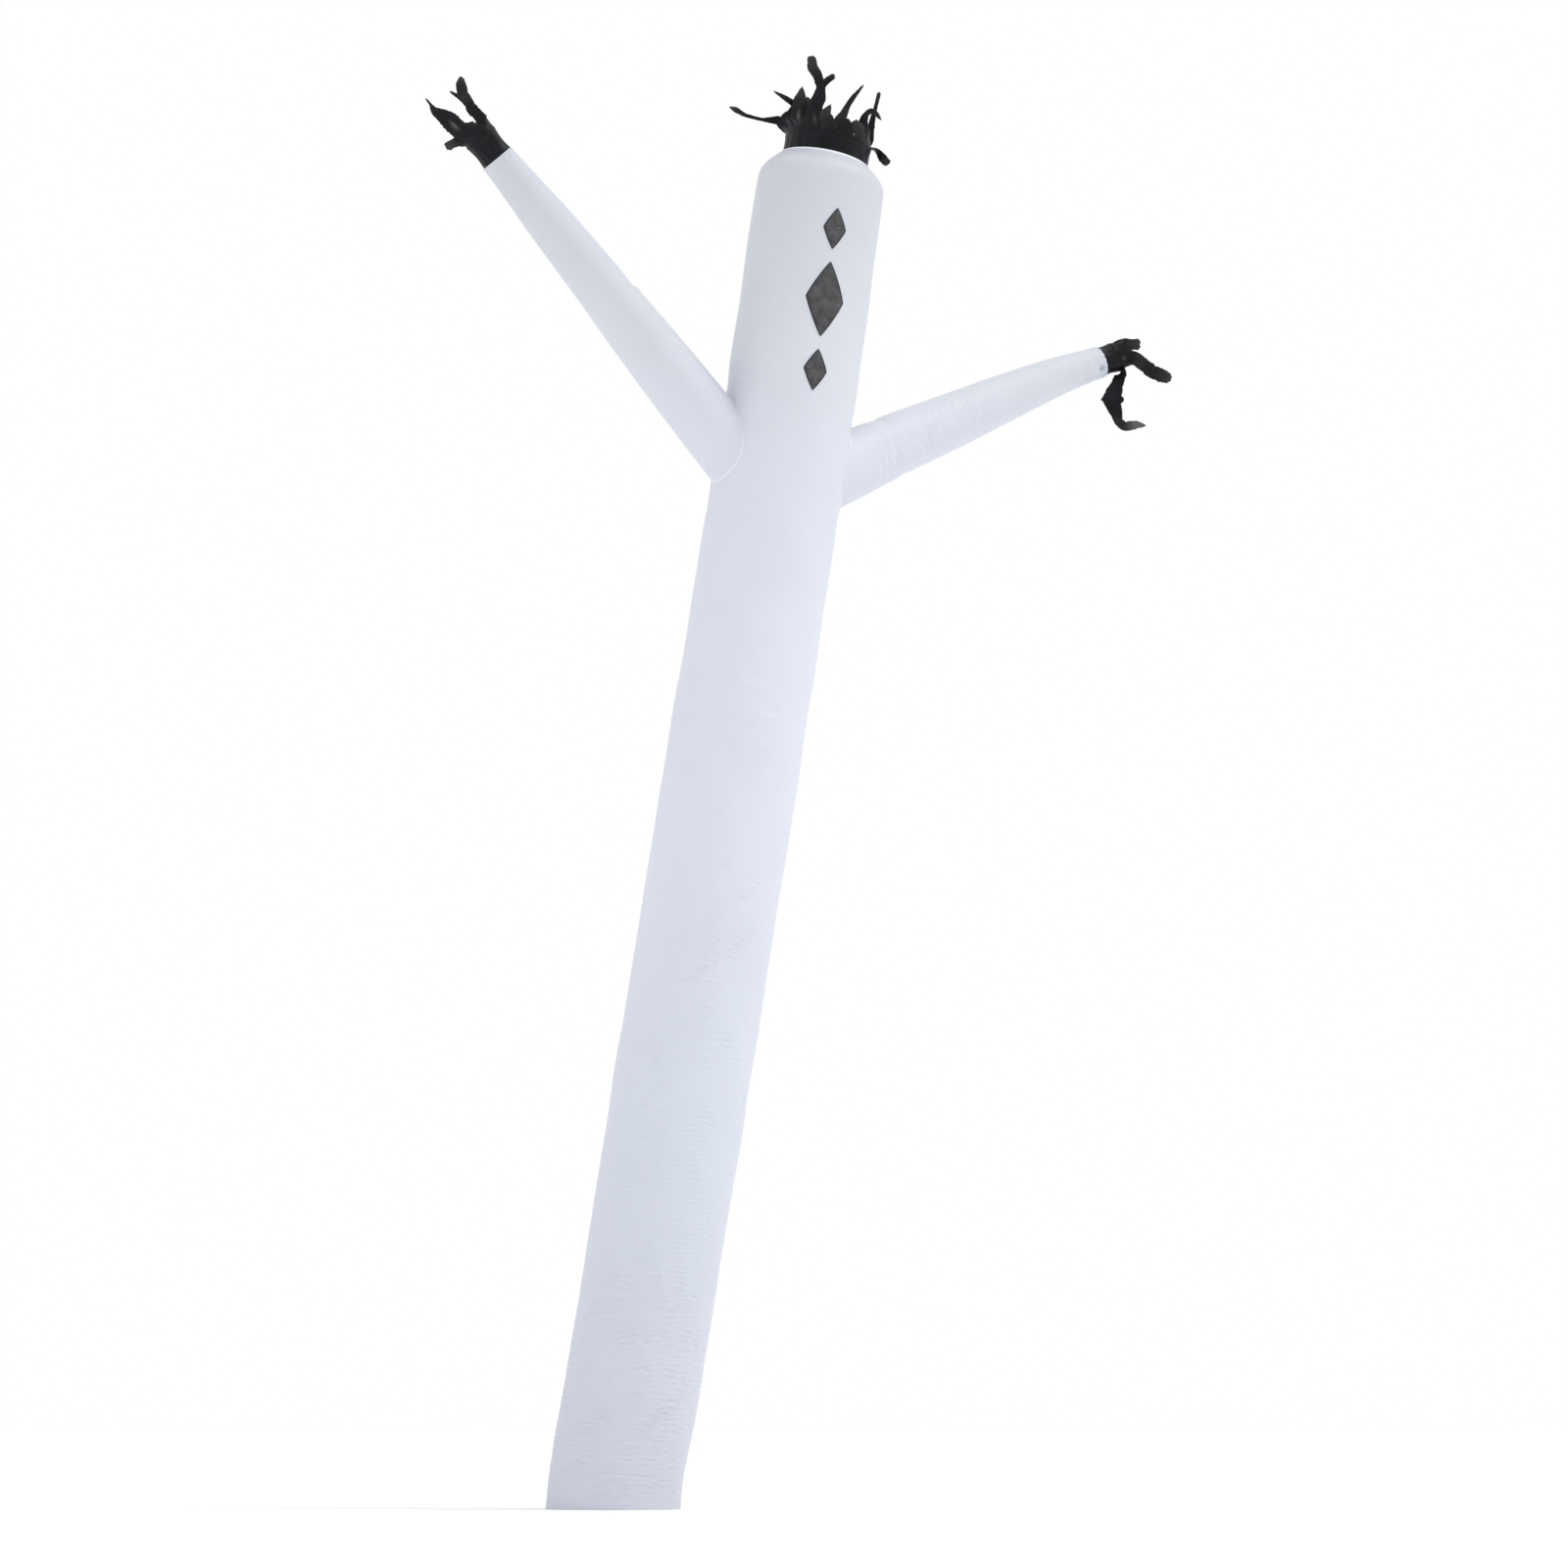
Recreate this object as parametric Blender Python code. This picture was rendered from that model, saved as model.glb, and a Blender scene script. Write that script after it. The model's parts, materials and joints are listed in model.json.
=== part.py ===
"""An inflatable air dancer, blown up: one tall cloth tube, two cone arms, cuffs, fingers and hair.

Every cloth tube follows a short table of headings and a table of radii, so the same few
functions make the body, the arms, the cuffs and the hair band.  Metres and degrees, +Z up.
The origin is the centre of the bottom hem.  The front is toward -Y, the arms are on -X and +X.
"""

import math
from collections import namedtuple

import bpy
import numpy as np
from mathutils import Vector

# ------------------------------------------------------------------ cloth and seams
WHITE_CLOTH = 0.002      # thickness of the white nylon with its seams
BLACK_CLOTH = 0.0015     # thickness of the black nylon
PATCH_CLOTH = 0.0012     # thickness of the patches sewn on the head
SEAT_GAP = 0.0003        # clearance between two pieces that are sewn together
SEAM_LAP = 0.012         # how far a cuff or the hair band is tucked into the white cloth
ARMHOLE_LIP = 0.006      # how much smaller the hole in the body is than the arm around it
BAND_HEIGHT = 0.008      # height of the narrow strip that holds the roots of a fringe
WALK_STEP = 0.005        # step along a tube's centreline
SHARP_ANGLE = 40         # an edge that bends more than this is shaded sharp

# ------------------------------------------------------------------ tables of the tubes
# A tube's centreline starts at along 0 and turns evenly from one heading to the next.
# azimuth is measured round +Z from +X toward +Y, elevation is measured up from the floor.
Heading = namedtuple("Heading", "along azimuth elevation")
Width = namedtuple("Width", "along radius")
Rings = namedtuple("Rings", "up_to spacing")
# A dent is a soft hollow pressed into a tube, or a swelling where its depth is negative.
Dent = namedtuple("Dent", "along around length arc depth")

BODY_SIDES = 32
BODY_HEADINGS = (
    Heading(0.00, 0, 90.0),
    Heading(0.04, 0, 84.0),
    Heading(0.12, 0, 79.0),
    Heading(0.60, 0, 80.2),
    Heading(3.60, 0, 80.4),
    Heading(4.20, 0, 81.4),
    Heading(4.66, 0, 81.6),
    Heading(4.78, 0, 78.6),
)
BODY_WIDTHS = (
    Width(0.00, 0.2285),
    Width(0.50, 0.2295),
    Width(1.20, 0.2320),
    Width(2.20, 0.2335),
    Width(3.30, 0.2310),
    Width(4.10, 0.2285),
    Width(4.50, 0.2262),
    Width(4.69, 0.2225),
    Width(4.714, 0.2180),
    Width(4.734, 0.2060),
    Width(4.756, 0.1840),
    Width(4.783, 0.1550),
)
BODY_RINGS = (
    Rings(0.12, 0.040),
    Rings(3.40, 0.205),
    Rings(4.04, 0.064),
    Rings(4.69, 0.130),
    Rings(4.783, 0.020),
)
BODY_DENTS = (
    Dent(3.925, 180, 0.070, 44, 0.007),
    Dent(3.480, 184, 0.060, 36, 0.005),
    Dent(3.860, 356, 0.070, 40, 0.006),
    Dent(3.500, 2, 0.070, 44, 0.008),
    Dent(0.160, 330, 0.120, 50, 0.004),
)

ARM_SIDES = 24
ARM_SEAT_ALONG = 3.710   # where the middle of each arm root sits on the body
ARM_INSET = 0.22         # how far an arm runs on inside the body before it is trimmed
ARM_LENGTH = 1.25        # from the root seam to the cuff seam, along the middle
ARM_RINGS = (
    Rings(0.42, 0.064),
    Rings(1.25, 0.1383),
)
LEFT_SEAT_AROUND = 180
LEFT_HEADINGS = (
    Heading(0.00, 173, 50.0),
    Heading(0.60, 174, 49.5),
    Heading(1.25, 174, 48.5),
)
LEFT_WIDTHS = (
    Width(-ARM_INSET, 0.112),
    Width(0.00, 0.115),
    Width(0.20, 0.112),
    Width(0.45, 0.104),
    Width(0.70, 0.091),
    Width(0.98, 0.079),
    Width(1.10, 0.070),
    Width(1.25, 0.061),
)
LEFT_DENTS = (
    Dent(0.640, 10, 0.050, 70, 0.006),
    Dent(0.130, 60, 0.060, 60, 0.005),
)
RIGHT_SEAT_AROUND = 0
RIGHT_HEADINGS = (
    Heading(0.00, 22, 25.0),
    Heading(0.45, 13, 23.2),
    Heading(0.70, 9, 24.6),
    Heading(1.00, 3, 23.6),
    Heading(1.15, 1, 20.5),
    Heading(1.25, -1, 20.0),
)
RIGHT_WIDTHS = (
    Width(-ARM_INSET, 0.114),
    Width(0.00, 0.119),
    Width(0.16, 0.115),
    Width(0.45, 0.104),
    Width(0.75, 0.090),
    Width(1.00, 0.074),
    Width(1.25, 0.056),
)
RIGHT_DENTS = (
    Dent(0.190, 300, 0.035, 60, 0.006),
    Dent(0.270, 330, 0.035, 70, 0.006),
    Dent(0.360, 310, 0.035, 60, 0.005),
    Dent(0.230, 200, 0.040, 60, 0.005),
)

# A cuff fits inside the end of its arm as far as the seam, then has a waist and a wider end.
CUFF_SIDES = 24
Cuff = namedtuple("Cuff", "length waist end")
LEFT_CUFF = Cuff(0.085, 0.056, 0.060)
RIGHT_CUFF = Cuff(0.055, 0.051, 0.053)

HAIR_SIDES = 32
HAIR_BAND_HEIGHT = 0.062
HAIR_BAND_RINGS = 4

# ------------------------------------------------------------------ tables of the fringes
# A strip stands where its root is round the tube, on the arc that the root takes, and has a
# row for each of its legs: the leg's length, its tilt from straight up, the bearing it leans
# to, and at its end the strip's width and its turn about its own length.
Strip = namedtuple("Strip", "around arc legs")
Leg = namedtuple("Leg", "length tilt bearing width turn")
BEND = 0.020             # the length over which a strip turns from one leg's heading to the next
SHORTEST_STEP = 0.002    # sections of a strip closer together than this are made as one
INNER_EDGE = 2           # of a section's four edges, the one on the strip's inner side

HAIR_STRIPS = (
    Strip(158.0, 17.0, (
        Leg(0.065, 35, 120, 0.034, -70),
        Leg(0.060, 90, 165, 0.012, -60),
        Leg(0.065, 80, 175, 0.014, -60),
        Leg(0.040, 60, 160, 0.020, -55),
        Leg(0.025, 65, 160, 0.008, -55),
    )),
    Strip(180.5, 18.0, (
        Leg(0.060, 30, 250, 0.034, -65),
        Leg(0.035, 35, 290, 0.024, -65),
        Leg(0.045, 60, 175, 0.018, -80),
        Leg(0.045, 60, 160, 0.006, -80),
    )),
    Strip(203.0, 18.5, (
        Leg(0.055, 40, 225, 0.050, -45),
        Leg(0.050, 20, 280, 0.048, -40),
        Leg(0.050, 10, 305, 0.006, -40),
    )),
    Strip(225.5, 18.0, (
        Leg(0.055, 25, 225, 0.050, -20),
        Leg(0.055, 25, 325, 0.050, -20),
        Leg(0.040, 10, 340, 0.032, -20),
        Leg(0.045, 15, 155, 0.034, -15),
        Leg(0.030, 35, 165, 0.038, -10),
        Leg(0.045, 10, 200, 0.028, -10),
    )),
    Strip(248.0, 18.5, (
        Leg(0.060, 30, 200, 0.040, 0),
        Leg(0.040, 30, 325, 0.006, 0),
    )),
    Strip(270.5, 18.5, (
        Leg(0.020, 10, 0, 0.046, 0),
        Leg(0.015, 20, 195, 0.042, 5),
        Leg(0.025, 50, 195, 0.034, 25),
        Leg(0.050, 25, 325, 0.020, 25),
        Leg(0.035, 35, 325, 0.018, 25),
        Leg(0.060, 40, 330, 0.006, 25),
    )),
    Strip(293.0, 18.5, (
        Leg(0.020, 10, 0, 0.046, 0),
        Leg(0.015, 20, 205, 0.044, 15),
        Leg(0.020, 50, 205, 0.042, 40),
        Leg(0.020, 10, 205, 0.026, 45),
    )),
    Strip(315.5, 18.0, (
        Leg(0.080, 30, 210, 0.038, 70),
        Leg(0.035, 30, 290, 0.020, 75),
        Leg(0.020, 50, 330, 0.020, 80),
        Leg(0.020, 120, 305, 0.020, 95),
        Leg(0.035, 140, 345, 0.006, 100),
    )),
    Strip(338.0, 18.0, (
        Leg(0.030, 120, 330, 0.034, 20),
        Leg(0.040, 140, 305, 0.030, 85),
        Leg(0.030, 135, 315, 0.028, 90),
    )),
    Strip(0.5, 17.0, (
        Leg(0.120, 10, 335, 0.022, -70),
        Leg(0.040, 15, 315, 0.014, -70),
        Leg(0.070, 20, 290, 0.014, -70),
    )),
    Strip(23.0, 18.5, (
        Leg(0.070, 45, 325, 0.032, -50),
        Leg(0.030, 15, 315, 0.028, -50),
        Leg(0.030, 15, 180, 0.012, -45),
    )),
    Strip(45.5, 18.0, (
        Leg(0.135, 10, 185, 0.028, 0),
        Leg(0.040, 35, 330, 0.008, 0),
    )),
    Strip(68.0, 18.5, (
        Leg(0.175, 15, 195, 0.032, 0),
        Leg(0.055, 15, 260, 0.026, 5),
        Leg(0.045, 50, 295, 0.024, 10),
        Leg(0.040, 60, 315, 0.020, 15),
    )),
    Strip(90.5, 18.0, (
        Leg(0.145, 5, 230, 0.046, 0),
        Leg(0.050, 20, 210, 0.014, 0),
    )),
    Strip(113.0, 18.0, (
        Leg(0.130, 5, 210, 0.044, 0),
        Leg(0.030, 15, 315, 0.012, 0),
    )),
    Strip(135.5, 18.0, (
        Leg(0.080, 15, 170, 0.040, 35),
        Leg(0.040, 40, 330, 0.010, 30),
    )),
)
LEFT_FINGERS = (
    Strip(315, 44, (
        Leg(0.050, 65, 200, 0.040, 65),
        Leg(0.050, 45, 165, 0.040, 65),
        Leg(0.025, 20, 175, 0.030, 65),
        Leg(0.035, 40, 165, 0.038, 65),
        Leg(0.030, 10, 185, 0.038, 65),
        Leg(0.030, 5, 260, 0.016, 60),
    )),
    Strip(15, 44, (
        Leg(0.070, 50, 200, 0.034, -30),
        Leg(0.065, 45, 160, 0.022, -50),
        Leg(0.025, 55, 160, 0.016, -50),
        Leg(0.035, 60, 160, 0.008, -50),
    )),
    Strip(75, 44, (
        Leg(0.040, 10, 135, 0.036, 0),
        Leg(0.030, 50, 140, 0.024, 0),
    )),
    Strip(135, 44, (
        Leg(0.055, 35, 100, 0.038, 0),
        Leg(0.035, 55, 140, 0.024, 0),
    )),
    Strip(195, 44, (
        Leg(0.045, 80, 155, 0.032, -50),
        Leg(0.025, 115, 155, 0.030, -45),
        Leg(0.025, 125, 150, 0.032, -45),
    )),
    Strip(255, 44, (
        Leg(0.080, 85, 170, 0.064, 5),
        Leg(0.050, 50, 175, 0.062, 10),
        Leg(0.030, 55, 160, 0.048, 10),
        Leg(0.030, 60, 160, 0.028, 10),
        Leg(0.025, 30, 165, 0.010, 5),
        Leg(0.030, 40, 165, 0.006, 5),
    )),
)
RIGHT_FINGERS = (
    Strip(345, 44, (
        Leg(0.035, 150, 205, 0.044, 45),
        Leg(0.035, 160, 155, 0.042, 80),
        Leg(0.045, 160, 150, 0.070, 80),
        Leg(0.015, 175, 60, 0.088, 80),
        Leg(0.020, 175, 60, 0.056, 80),
        Leg(0.030, 155, 345, 0.046, 80),
        Leg(0.030, 170, 10, 0.032, 80),
        Leg(0.030, 130, 340, 0.034, 80),
        Leg(0.040, 80, 335, 0.032, 80),
        Leg(0.040, 95, 335, 0.006, 80),
    )),
    Strip(45, 44, (
        Leg(0.065, 70, 345, 0.030, 0),
        Leg(0.035, 100, 340, 0.016, 0),
    )),
    Strip(105, 44, (
        Leg(0.075, 80, 345, 0.030, 0),
        Leg(0.030, 95, 0, 0.020, 0),
    )),
    Strip(165, 44, (
        Leg(0.060, 80, 325, 0.036, 35),
        Leg(0.045, 100, 335, 0.032, 35),
    )),
    Strip(225, 44, (
        Leg(0.045, 85, 310, 0.040, -45),
        Leg(0.050, 90, 335, 0.040, -45),
    )),
    Strip(285, 44, (
        Leg(0.055, 95, 315, 0.046, 15),
        Leg(0.050, 130, 325, 0.048, 20),
        Leg(0.030, 130, 340, 0.050, 20),
        Leg(0.035, 115, 320, 0.050, 20),
        Leg(0.040, 110, 335, 0.034, 20),
    )),
)

# ------------------------------------------------------------------ patches on the head
# A patch is an upright lozenge, sewn flat on the front of the head.
Patch = namedtuple("Patch", "name along around height width")
PATCHES = (
    Patch("patch_upper", 4.490, 266, 0.150, 0.085),
    Patch("patch_middle", 4.235, 266, 0.270, 0.140),
    Patch("patch_lower", 3.980, 266, 0.150, 0.085),
)
PATCH_CORNER = 0.010     # how much of each tip is cut off blunt
PATCH_SIDE_POINTS = 3    # points along each straight side
PATCH_CUT_DEPTH = 0.03   # how far the cutter reaches to each side of the cloth


# ------------------------------------------------------------------ tubes
class Tube:
    """A cloth tube along a walked centreline, with its own radius at every place."""

    def __init__(self, headings, widths, start, first=0.0, dents=()):
        self.widths = widths
        self.dents = dents
        last = widths[-1].along
        count = int(round((last - first) / WALK_STEP)) + 1
        self.alongs = np.linspace(first, last, count)
        turned = [row.along for row in headings]
        azimuth = np.radians(np.interp(self.alongs, turned, [row.azimuth for row in headings]))
        elevation = np.radians(np.interp(self.alongs, turned, [row.elevation for row in headings]))
        level = np.cos(elevation)
        self.headings = np.stack(
            [level * np.cos(azimuth), level * np.sin(azimuth), np.sin(elevation)], axis=1)
        moves = (self.headings[1:] + self.headings[:-1]) / 2 * np.diff(self.alongs)[:, None]
        self.centres = np.vstack([np.zeros(3), np.cumsum(moves, axis=0)]) + np.array(start)

    def frame(self, along):
        """The centre of the tube, its side and back directions, and its heading."""
        centre = Vector([np.interp(along, self.alongs, column) for column in self.centres.T])
        heading = Vector([np.interp(along, self.alongs, column) for column in self.headings.T])
        heading.normalize()
        back = Vector((0.0, 1.0, 0.0))
        back = (back - heading * back.dot(heading)).normalized()
        return centre, back.cross(heading), back, heading

    def radius(self, along, around):
        """The radius at a place, with its dents."""
        alongs = [row.along for row in self.widths]
        radius = np.interp(along, alongs, [row.radius for row in self.widths])
        for dent in self.dents:
            turn = (around - dent.around + 180) % 360 - 180
            far = ((along - dent.along) / dent.length) ** 2 + (turn / dent.arc) ** 2
            radius -= dent.depth * math.exp(-2.0 * far)
        return radius

    def place(self, along, around, out=0.0):
        """A point on the tube, or out from it by a distance."""
        centre, side, back, _ = self.frame(along)
        return centre + round_way(side, back, around) * (self.radius(along, around) + out)


def round_way(side, back, around):
    """The direction out from a tube's centre at an angle round it."""
    angle = math.radians(around)
    return side * math.cos(angle) + back * math.sin(angle)


def ring_places(rows, first=0.0):
    """The places of a tube's rings, from a table of spacings."""
    places = [first]
    for row in rows:
        count = max(1, round((row.up_to - places[-1]) / row.spacing))
        start = places[-1]
        for step in range(1, count + 1):
            places.append(start + (row.up_to - start) * step / count)
    return places


# ------------------------------------------------------------------ meshes
def material(name, colour, roughness):
    """A plain dyed cloth."""
    made = bpy.data.materials.new(name)
    made.use_nodes = True
    shader = made.node_tree.nodes["Principled BSDF"]
    shader.inputs["Base Color"].default_value = (*colour, 1.0)
    shader.inputs["Roughness"].default_value = roughness
    return made


def make_object(name, points, faces, finish=None):
    """A named object from points and faces."""
    mesh = bpy.data.meshes.new(name)
    mesh.from_pydata([tuple(point) for point in points], [], faces)
    made = bpy.data.objects.new(name, mesh)
    bpy.context.scene.collection.objects.link(made)
    if finish is None:
        made.hide_render = True
        made.display_type = "WIRE"
    else:
        mesh.materials.append(finish)
        mesh.shade_smooth()
        mesh.set_sharp_from_angle(angle=math.radians(SHARP_ANGLE))
    return made


def ring_points(tube, places, sides, out):
    """Rings of points on a tube, one ring for each place."""
    return [tube.place(along, 360 * step / sides, out) for along in places for step in range(sides)]


def wall_faces(rings, sides, first, outward):
    """The quads between successive rings, facing out or in."""
    faces = []
    for ring in range(rings - 1):
        for step in range(sides):
            near = first + ring * sides
            beside = (step + 1) % sides
            quad = (near + step, near + beside, near + sides + beside, near + sides + step)
            faces.append(quad if outward else quad[::-1])
    return faces


def make_shell(name, tube, places, sides, wall, out=0.0, finish=None):
    """A cloth tube, open at both ends, as a closed thin solid."""
    points = ring_points(tube, places, sides, out) + ring_points(tube, places, sides, out - wall)
    rings = len(places)
    inner = rings * sides
    faces = wall_faces(rings, sides, 0, True) + wall_faces(rings, sides, inner, False)
    top = (rings - 1) * sides
    for step in range(sides):
        beside = (step + 1) % sides
        faces.append((step, inner + step, inner + beside, beside))
        faces.append((top + step, top + beside, inner + top + beside, inner + top + step))
    return make_object(name, points, faces, finish)


def make_plug(name, tube, places, sides, out):
    """The filled shape of a tube, used only to cut with."""
    rings = len(places)
    top = (rings - 1) * sides
    faces = wall_faces(rings, sides, 0, True)
    faces.append(tuple(range(sides))[::-1])
    faces.append(tuple(range(top, top + sides)))
    return make_object(name, ring_points(tube, places, sides, out), faces)


def cut(target, cutter, operation):
    """Cut a piece with another shape."""
    boolean = target.modifiers.new(cutter.name, "BOOLEAN")
    boolean.operation = operation
    boolean.solver = "EXACT"
    boolean.object = cutter


# ------------------------------------------------------------------ fringes
def leg_heading(leg):
    """The direction of one leg of a strip."""
    tilt = math.radians(leg.tilt)
    bearing = math.radians(leg.bearing)
    return (math.sin(tilt) * math.cos(bearing), math.sin(tilt) * math.sin(bearing), math.cos(tilt))


def strip_knots(row, axis):
    """The places where a strip's heading is given, and the heading at each."""
    ends = np.cumsum([leg.length for leg in row.legs])
    knots = [0.0, min(BEND, row.legs[0].length / 2)]
    ways = [axis, leg_heading(row.legs[0])]
    for joint, before, after in zip(ends, row.legs, row.legs[1:]):
        half = min(BEND, before.length, after.length) / 2
        knots += [joint - half, joint + half]
        ways += [leg_heading(before), leg_heading(after)]
    return knots + [ends[-1]], ways + [leg_heading(row.legs[-1])]


def strip_sections(row, root, axis, wall):
    """The four corners of a strip at every step of its way."""
    across = root[1] - root[0]
    ends = np.cumsum([0.0] + [leg.length for leg in row.legs])
    widths = [across.length] + [leg.width for leg in row.legs]
    turns = [0.0] + [leg.turn for leg in row.legs]
    knots, ways = strip_knots(row, axis)
    # A strip is as flat as the ring until its first bend is done, and only then turns.
    twists = [knots[1], *ends[1:]]

    def heading(place):
        return Vector([np.interp(place, knots, column) for column in zip(*ways)]).normalized()

    centre = (root[0] + root[1] + root[2] + root[3]) / 4
    across.normalize()
    sections = []
    before = 0.0
    for place in sorted({knots[1] / 2, *knots[1:], *ends[1:]}):
        if place - before < SHORTEST_STEP:
            continue
        centre = centre + heading((before + place) / 2) * (place - before)
        way = heading(place)
        across.rotate(heading(before).rotation_difference(way))
        before = place
        turn = math.radians(np.interp(place, twists, turns))
        wide = across * math.cos(turn) + across.cross(way) * math.sin(turn)
        thick = wide.cross(way) * wall / 2
        half = wide * np.interp(place, ends, widths) / 2
        sections.append((centre - half + thick, centre + half + thick,
                         centre + half - thick, centre - half - thick))
    return sections


def step_faces(below, above):
    """The faces between two sections of a strip.

    The outer and inner faces are split along the same diagonal, so a turned strip keeps its
    thickness.
    """
    faces = []
    for edge in range(4):
        after = (edge + 1) % 4
        if edge == INNER_EDGE:
            faces.append((below[edge], below[after], above[edge]))
            faces.append((below[after], above[after], above[edge]))
        else:
            faces.append((below[edge], below[after], above[after]))
            faces.append((below[edge], above[after], above[edge]))
    return faces


def make_fringe(name, frame, radius, wall, strips, finish):
    """Strips that stand on a narrow ring: one closed piece, joined only at the strips' roots."""
    centre, side, back, axis = frame
    points = []
    faces = []
    corners = []
    for row in sorted(strips, key=lambda strip: strip.around):
        corners += [(row.around - row.arc / 2, row), (row.around + row.arc / 2, None)]
    for level in (0.0, BAND_HEIGHT):
        for reach in (radius, radius - wall):
            for around, _ in corners:
                points.append(centre + axis * level + round_way(side, back, around) * reach)
    count = len(corners)
    low_out, low_in, high_out, high_in = 0, count, 2 * count, 3 * count
    for step, (_, row) in enumerate(corners):
        beside = (step + 1) % count
        faces.append((low_out + step, low_out + beside, high_out + beside, high_out + step))
        faces.append((low_in + beside, low_in + step, high_in + step, high_in + beside))
        faces.append((low_out + step, low_in + step, low_in + beside, low_out + beside))
        section = (high_out + step, high_out + beside, high_in + beside, high_in + step)
        if row is not None:
            root = [points[index] for index in section]
            for corners_there in strip_sections(row, root, axis, wall):
                first = len(points)
                points += corners_there
                above = (first, first + 1, first + 2, first + 3)
                faces += step_faces(section, above)
                section = above
        faces.append(section)
    return make_object(name, points, faces, finish)


# ------------------------------------------------------------------ the pieces
def make_patch(row, body, places, finish):
    """A lozenge cut out of a sheet that lies on the body's own facets."""
    out = SEAT_GAP + PATCH_CLOTH
    sheet = make_shell(row.name, body, places, BODY_SIDES, PATCH_CLOTH, out, finish)
    tall = row.height / 2
    wide = row.width / 2
    corner = PATCH_CORNER / math.hypot(tall, wide)
    tips = ((wide, 0), (0, tall), (-wide, 0), (0, -tall))
    outline = []
    for quarter in range(4):
        # Each side runs from one tip of the lozenge to the next, short of both by the corner.
        start = tips[quarter]
        end = tips[(quarter + 1) % 4]
        for step in range(PATCH_SIDE_POINTS):
            share = corner + (1 - 2 * corner) * step / (PATCH_SIDE_POINTS - 1)
            outline.append([start[i] + (end[i] - start[i]) * share for i in range(2)])
    count = len(outline)
    points = []
    for out in (PATCH_CUT_DEPTH, -PATCH_CUT_DEPTH):
        for across, up in outline:
            along = row.along + up
            around = row.around + math.degrees(across / body.radius(along, row.around))
            points.append(body.place(along, around, out))
    faces = [tuple(range(count)), tuple(range(count, 2 * count))[::-1]]
    for step in range(count):
        beside = (step + 1) % count
        faces.append((step, count + step, count + beside, beside))
    cutter = make_object("cutter_" + row.name, points, faces)
    cut(sheet, cutter, "INTERSECT")


def make_arm(name, body, trimmer, body_object, seat_around, headings, widths, dents, white):
    """A cone arm, trimmed to the body at its root, and the hole in the body behind it."""
    seat = body.place(ARM_SEAT_ALONG, seat_around)
    straight = Tube(headings, widths, seat)
    start = seat - straight.frame(0.0)[3] * ARM_INSET
    arm = Tube(headings, widths, start, -ARM_INSET, dents)
    places = [-ARM_INSET] + ring_places(ARM_RINGS, 0.0)
    made = make_shell(name, arm, places, ARM_SIDES, WHITE_CLOTH, finish=white)
    cut(made, trimmer, "DIFFERENCE")
    hole = make_plug("cutter_hole_" + name, arm, [-ARM_INSET, ARM_INSET], ARM_SIDES,
                     -WHITE_CLOTH - ARMHOLE_LIP)
    cut(body_object, hole, "DIFFERENCE")
    return arm


def make_hand(side, arm, last_heading, row, fingers, black):
    """A short black cuff tucked into the end of an arm, and the fingers beyond it."""
    centre, _, _, heading = arm.frame(ARM_LENGTH)
    start = centre - heading * SEAM_LAP
    inside = arm.widths[-1].radius - WHITE_CLOTH - SEAT_GAP
    widths = (Width(-SEAM_LAP, inside), Width(0.0, inside),
              Width(row.length / 2, row.waist), Width(row.length, row.end))
    cuff = Tube((last_heading,), widths, start, -SEAM_LAP)
    places = [width.along for width in widths]
    make_shell("cuff_" + side, cuff, places, CUFF_SIDES, BLACK_CLOTH, finish=black)
    top, side_way, back, axis = cuff.frame(row.length)
    frame = (top + axis * SEAT_GAP, side_way, back, axis)
    make_fringe("fingers_" + side, frame, row.end, BLACK_CLOTH, fingers, black)


def make_hair(body, black):
    """A black band tucked into the crown's rim, and the strips of hair above it."""
    rim = BODY_WIDTHS[-1]
    radius = rim.radius - WHITE_CLOTH - SEAT_GAP
    centre, _, _, heading = body.frame(rim.along)
    start = centre - heading * SEAM_LAP
    height = SEAM_LAP + HAIR_BAND_HEIGHT
    widths = (Width(0.0, radius), Width(height, radius))
    band = Tube((BODY_HEADINGS[-1],), widths, start)
    places = [height * step / (HAIR_BAND_RINGS - 1) for step in range(HAIR_BAND_RINGS)]
    make_shell("hair_band", band, places, HAIR_SIDES, BLACK_CLOTH, finish=black)
    top, side_way, back, axis = band.frame(height)
    frame = (top + axis * SEAT_GAP, side_way, back, axis)
    make_fringe("hair_strips", frame, radius, BLACK_CLOTH, HAIR_STRIPS, black)


def main():
    for old in list(bpy.data.objects):
        bpy.data.objects.remove(old)
    white = material("white_nylon", (0.80, 0.82, 0.86), 0.55)
    black = material("black_nylon", (0.012, 0.013, 0.015), 0.50)
    dark = material("dark_patch_nylon", (0.045, 0.045, 0.045), 0.40)

    body = Tube(BODY_HEADINGS, BODY_WIDTHS, (0.0, 0.0, 0.0), 0.0, BODY_DENTS)
    places = ring_places(BODY_RINGS)
    body_object = make_shell("body_tube", body, places, BODY_SIDES, WHITE_CLOTH, finish=white)
    trimmer = make_plug("cutter_body", body, places, BODY_SIDES, SEAT_GAP)
    left = make_arm("arm_left", body, trimmer, body_object, LEFT_SEAT_AROUND,
                    LEFT_HEADINGS, LEFT_WIDTHS, LEFT_DENTS, white)
    right = make_arm("arm_right", body, trimmer, body_object, RIGHT_SEAT_AROUND,
                     RIGHT_HEADINGS, RIGHT_WIDTHS, RIGHT_DENTS, white)
    make_hand("left", left, LEFT_HEADINGS[-1], LEFT_CUFF, LEFT_FINGERS, black)
    make_hand("right", right, RIGHT_HEADINGS[-1], RIGHT_CUFF, RIGHT_FINGERS, black)
    make_hair(body, black)
    for row in PATCHES:
        make_patch(row, body, places, dark)


main()
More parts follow.
